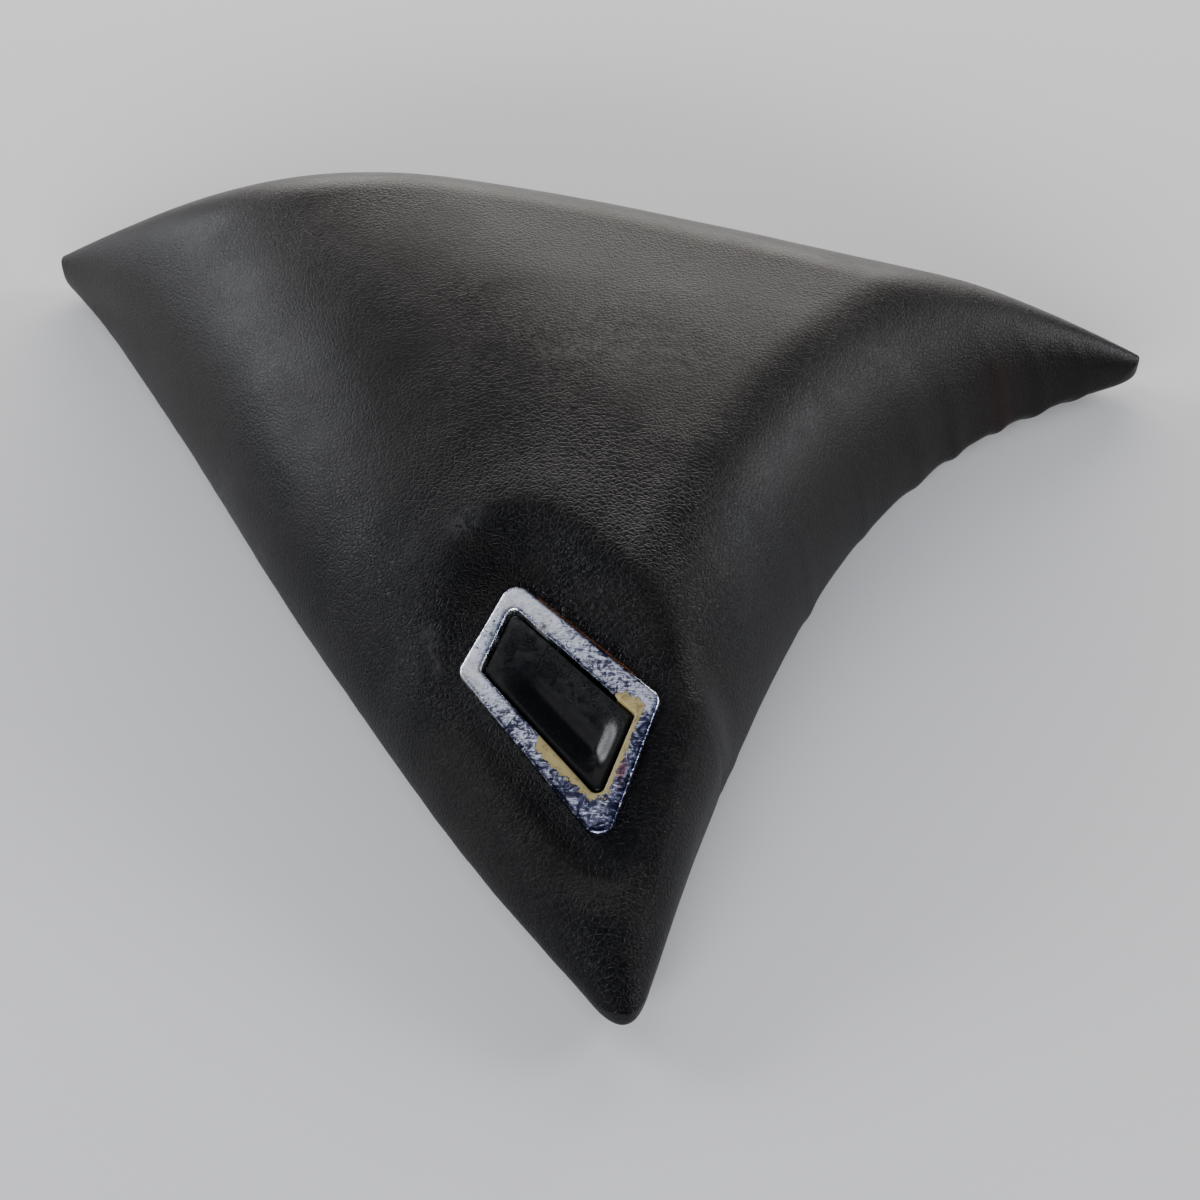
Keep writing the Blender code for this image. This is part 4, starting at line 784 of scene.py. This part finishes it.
tag = out_loop(0)[1]
for off, w in ((0, -BEZEL_T), (0, -0.0018), (0, -0.0010), (-0.0001, -0.00055), (-0.0003, -0.00025), (-0.0007, -0.00004)):
    row(out_loop(off)[0], w, 1.0)
oa, ia = out_loop(-0.0007)[0], in_loop(0.0007)[0]
for k in range(1, 12):
    f = k / 12
    row(oa * (1 - f) + ia * f, 0.00012 * sin(pi * f), 1 - f)
for off, w in ((0.0007, -0.00004), (0.0003, -0.0002), (0.0001, -0.0005), (0, -0.0011), (0, -0.0025), (0, -COLLAR_D),
               (COLLAR_T, -COLLAR_D), (COLLAR_T, -BEZEL_T)):
    row(in_loop(off)[0], w, 0.0)
size = len(rows[0])
bv = np.concatenate(rows)
bd = np.concatenate(widths)
tg = np.tile(tag, len(rows))
bezel = mesh_object("chrome_bezel", from_unit(bv), [f[::-1] for f in ring_faces(len(rows), size, 0, True)], CHROME, 50)
bm = bmesh.new()
bm.from_mesh(bezel.data)
bmesh.ops.recalc_face_normals(bm, faces=bm.faces)
bm.to_mesh(bezel.data)
bm.free()
# sides: 0 lower left, 1 near end, 2 upper right, 3 far end
stops = np.array((0.0, 0.52, 0.545, 0.60, 0.72, 0.86, 0.96, 1.03, 1.25, 1.6, 1.9, 2.03, 2.10, 2.16, 2.19, 4.0))
reach = np.array((-0.6, -0.6, 0.42, 0.60, 0.40, 0.30, 0.14, 0.14, 0.28, 0.26, 0.22, 0.44, 0.28, 0.24, -0.6, -0.6))
limit = np.interp(tg, stops, reach)
attribute(bezel, "peel", np.clip(limit - bd, -0.8, 0.6))
# painted reflection level round the bezel's loop, which also raises the roughness
attribute(bezel, "haze_and_painted_reflection", np.interp(tg, (0, 0.12, 0.3, 0.6, 1.0, 1.8, 2.05, 2.2, 2.6, 2.8, 3.1, 3.5, 4.0),
                                     (1.0, 0.8, 0.50, 0.35, 0.25, 0.25, 0.75, 0.45, 0.55, 0.95, 0.9, 0.65, 1.0)))
attribute(bezel, "rust", np.exp(-((tg - 1.35) / 0.10) ** 2) * np.exp(-((bd - 0.45) / 0.3) ** 2))
nick = np.exp(-((tg - 3.45) / 0.05) ** 2) * np.exp(-((bd - 0.25) / 0.25) ** 2) + \
    np.exp(-((tg - 2.78) / 0.035) ** 2) * np.exp(-((bd - 0.1) / 0.3) ** 2)
attribute(bezel, "nick", np.clip(nick, 0, 1))
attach(bezel, "panel")
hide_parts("bezel")


# -------------------------------------------------------------------- paddle
def paddle_rim(u):
    s = (u + 0.0336) / 0.0683
    return -0.0020 + 0.0008 * smooth(s / 0.35) + 0.0009 * smooth((s - 0.55) / 0.4)


def paddle_top(u, v):
    s = (u + 0.0336) / 0.0683
    bowl = 1.0
    for i, reach in enumerate((0.0085, 0.0080, 0.0085, 0.0150)):
        (ax, ay), (bx, by) = BEZEL_IN[i], BEZEL_IN[(i + 1) % 4]
        d = ((v - ay) * (bx - ax) - (u - ax) * (by - ay)) / np.hypot(bx - ax, by - ay) - PADDLE_GAP - 0.0004
        k = np.clip(d / reach, 0, 1)
        bowl = bowl * k * k * (3 - 2 * k)
    return paddle_rim(u) - 0.0031 * bowl


P_FLOOR = -0.0062
lp = lambda off: quad_loop(BEZEL_IN, BEZEL_IN_R, off, 8, 22)[0]
rows = []
for off, dz in ((-PADDLE_GAP, None), (-PADDLE_GAP, -0.0010), (-PADDLE_GAP, -0.0006), (-PADDLE_GAP - 0.00012, -0.00028),
                (-PADDLE_GAP - 0.00035, -0.00007)):
    q = lp(off)
    w = np.full(len(q), P_FLOOR) if dz is None else paddle_rim(q[:, 0]) + dz
    rows.append(np.concatenate([q, w[:, None]], 1))
rl = lp(-PADDLE_GAP - 0.0006)
for f in (1.0, 0.965, 0.93, 0.89, 0.85, 0.80, 0.74, 0.67, 0.59, 0.50, 0.40, 0.30, 0.20, 0.10, 0.02):
    cu = np.clip(rl[:, 0], -0.018, 0.016)
    uu, vv = cu + (rl[:, 0] - cu) * f, -0.0006 + (rl[:, 1] + 0.0006) * f
    rows.append(np.stack([uu, vv, paddle_top(uu, vv)], -1))
size = len(rows[0])
pv = np.concatenate(rows)
pf = ring_faces(len(rows), size)
pf.append(tuple(range(size))[::-1])
# close the middle line
mid0 = (len(rows) - 1) * size
pf.append(tuple(range(mid0, mid0 + size)))
nb = len(pv)


def box_uvw(lo, hi):
    global pv
    b = len(pv)
    c = [(x, y, z) for z in (lo[2], hi[2]) for y in (lo[1], hi[1]) for x in (lo[0], hi[0])]
    pv = np.concatenate([pv, np.array(c) + np.array([HINGE_U, 0, HINGE_W])])
    for f in ((0, 2, 3, 1), (4, 5, 7, 6), (0, 1, 5, 4), (2, 6, 7, 3), (0, 4, 6, 2), (1, 3, 7, 5)):
        pf.append(tuple(b + k for k in f))


box_uvw((-0.0030, -0.0090, -0.0030), (0.0030, -0.0064, 0.0042))
box_uvw((-0.0030, 0.0058, -0.0030), (0.0030, 0.0084, 0.0042))
box_uvw((0.0340, -0.0035, -0.0055), (0.0365, 0.0035, 0.0042))
paddle = mesh_object("finger_paddle", from_unit(pv), pf, PADDLE, 40)
bm = bmesh.new()
bm.from_mesh(paddle.data)
bmesh.ops.recalc_face_normals(bm, faces=bm.faces)
bm.to_mesh(paddle.data)
bm.free()
pu, pw = pv[:, 0], pv[:, 1]
s = (pu + 0.0336) / 0.0683
attribute(paddle, "dust", np.clip(0.9 * smooth((0.40 - s) / 0.35) + 0.45 * bump1(s, 0.5, 0.25) * smooth((pw + 0.004) / 0.008), 0, 1))
attribute(paddle, "speck", np.clip(0.4 + 0.6 * bump1(pw, 0.006, 0.003), 0, 1) * (s < 0.85))
attribute(paddle, "crust", np.clip(bump1(pw, 0.0075, 0.0016) * smooth((s - 0.2) / 0.1) * smooth((0.85 - s) / 0.1), 0, 1))
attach(paddle, "paddle")
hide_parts("paddle")

# --------------------------------------------------------------------- stage
floor_mat = Mat("pale_floor", (0.80, 0.80, 0.79), 0.75)
floor_mat.color(floor_mat.mix(floor_mat.ramp(floor_mat.noise(3, 3), 0.3, 0.7), (0.90, 0.90, 0.895), (0.92, 0.92, 0.915)))
floor = mesh_object("floor", [(-4, -4, 0), (4, -4, 0), (4, 4, 0), (-4, 4, 0)], [(0, 1, 2, 3)], floor_mat.m)

world = bpy.data.worlds.new("studio")
bpy.context.scene.world = world
world.use_nodes = True
world.node_tree.nodes["Background"].inputs["Color"].default_value = (0.62, 0.70, 1.0, 1)
world.node_tree.nodes["Background"].inputs["Strength"].default_value = 0.10


def area(name, loc, target, sx, sy, power, rgb):
    d = bpy.data.lights.new(name, "AREA")
    d.shape, d.size, d.size_y, d.energy, d.color = "RECTANGLE", sx, sy, power, rgb
    o = bpy.data.objects.new(name, d)
    o.location = loc
    o.rotation_euler = (Vector(target) - Vector(loc)).to_track_quat("-Z", "Y").to_euler()
    o.visible_camera = False
    bpy.context.scene.collection.objects.link(o)
    return o


area("window", (-0.20, 2.20, 0.72), (0, 0.05, 0.03), 2.2, 0.62, 44, (1.0, 0.95, 0.90))
area("front_fill", (0.1, -2.4, 0.70), (0, 0.1, 0), 2.8, 0.5, 88, (0.97, 0.98, 1.0))
area("left_fill", (-2.0, 0.9, 0.80), (0, 0, 0), 1.4, 0.5, 26, (0.94, 0.96, 1.0))
area("right_fill", (2.0, 1.1, 0.80), (0, 0, 0), 1.4, 0.5, 26, (0.96, 0.97, 1.0))
area("card_white", (-0.62, 0.46, 1.35), (0, -0.05, 0.03), 0.75, 0.9, 2.0, (1.0, 0.98, 0.97))
area("card_violet", (0.10, 0.10, 1.55), (0, -0.05, 0.03), 0.55, 0.9, 0.35, (0.55, 0.58, 1.0))

# -------------------------------------------------------------------- camera
EL, AZ, DIST = radians(38.0), radians(9.789), 0.80
aimp = Vector((0.03312264, 0.01149022, 0.003)) - Vector(tuple(ORIGIN))
back = Vector((sin(AZ) * cos(EL), -cos(AZ) * cos(EL), sin(EL)))
cam_data = bpy.data.cameras.new("camera")
cam_data.sensor_width = 36
cam_data.lens = 2518.6 * 36 / 1200
cam = bpy.data.objects.new("camera", cam_data)
cam.location = aimp + back * DIST
cam.rotation_euler = (-back).to_track_quat("-Z", "Y").to_euler()
cam_data.clip_start, cam_data.clip_end = 0.01, 50
bpy.context.scene.collection.objects.link(cam)
bpy.context.scene.camera = cam
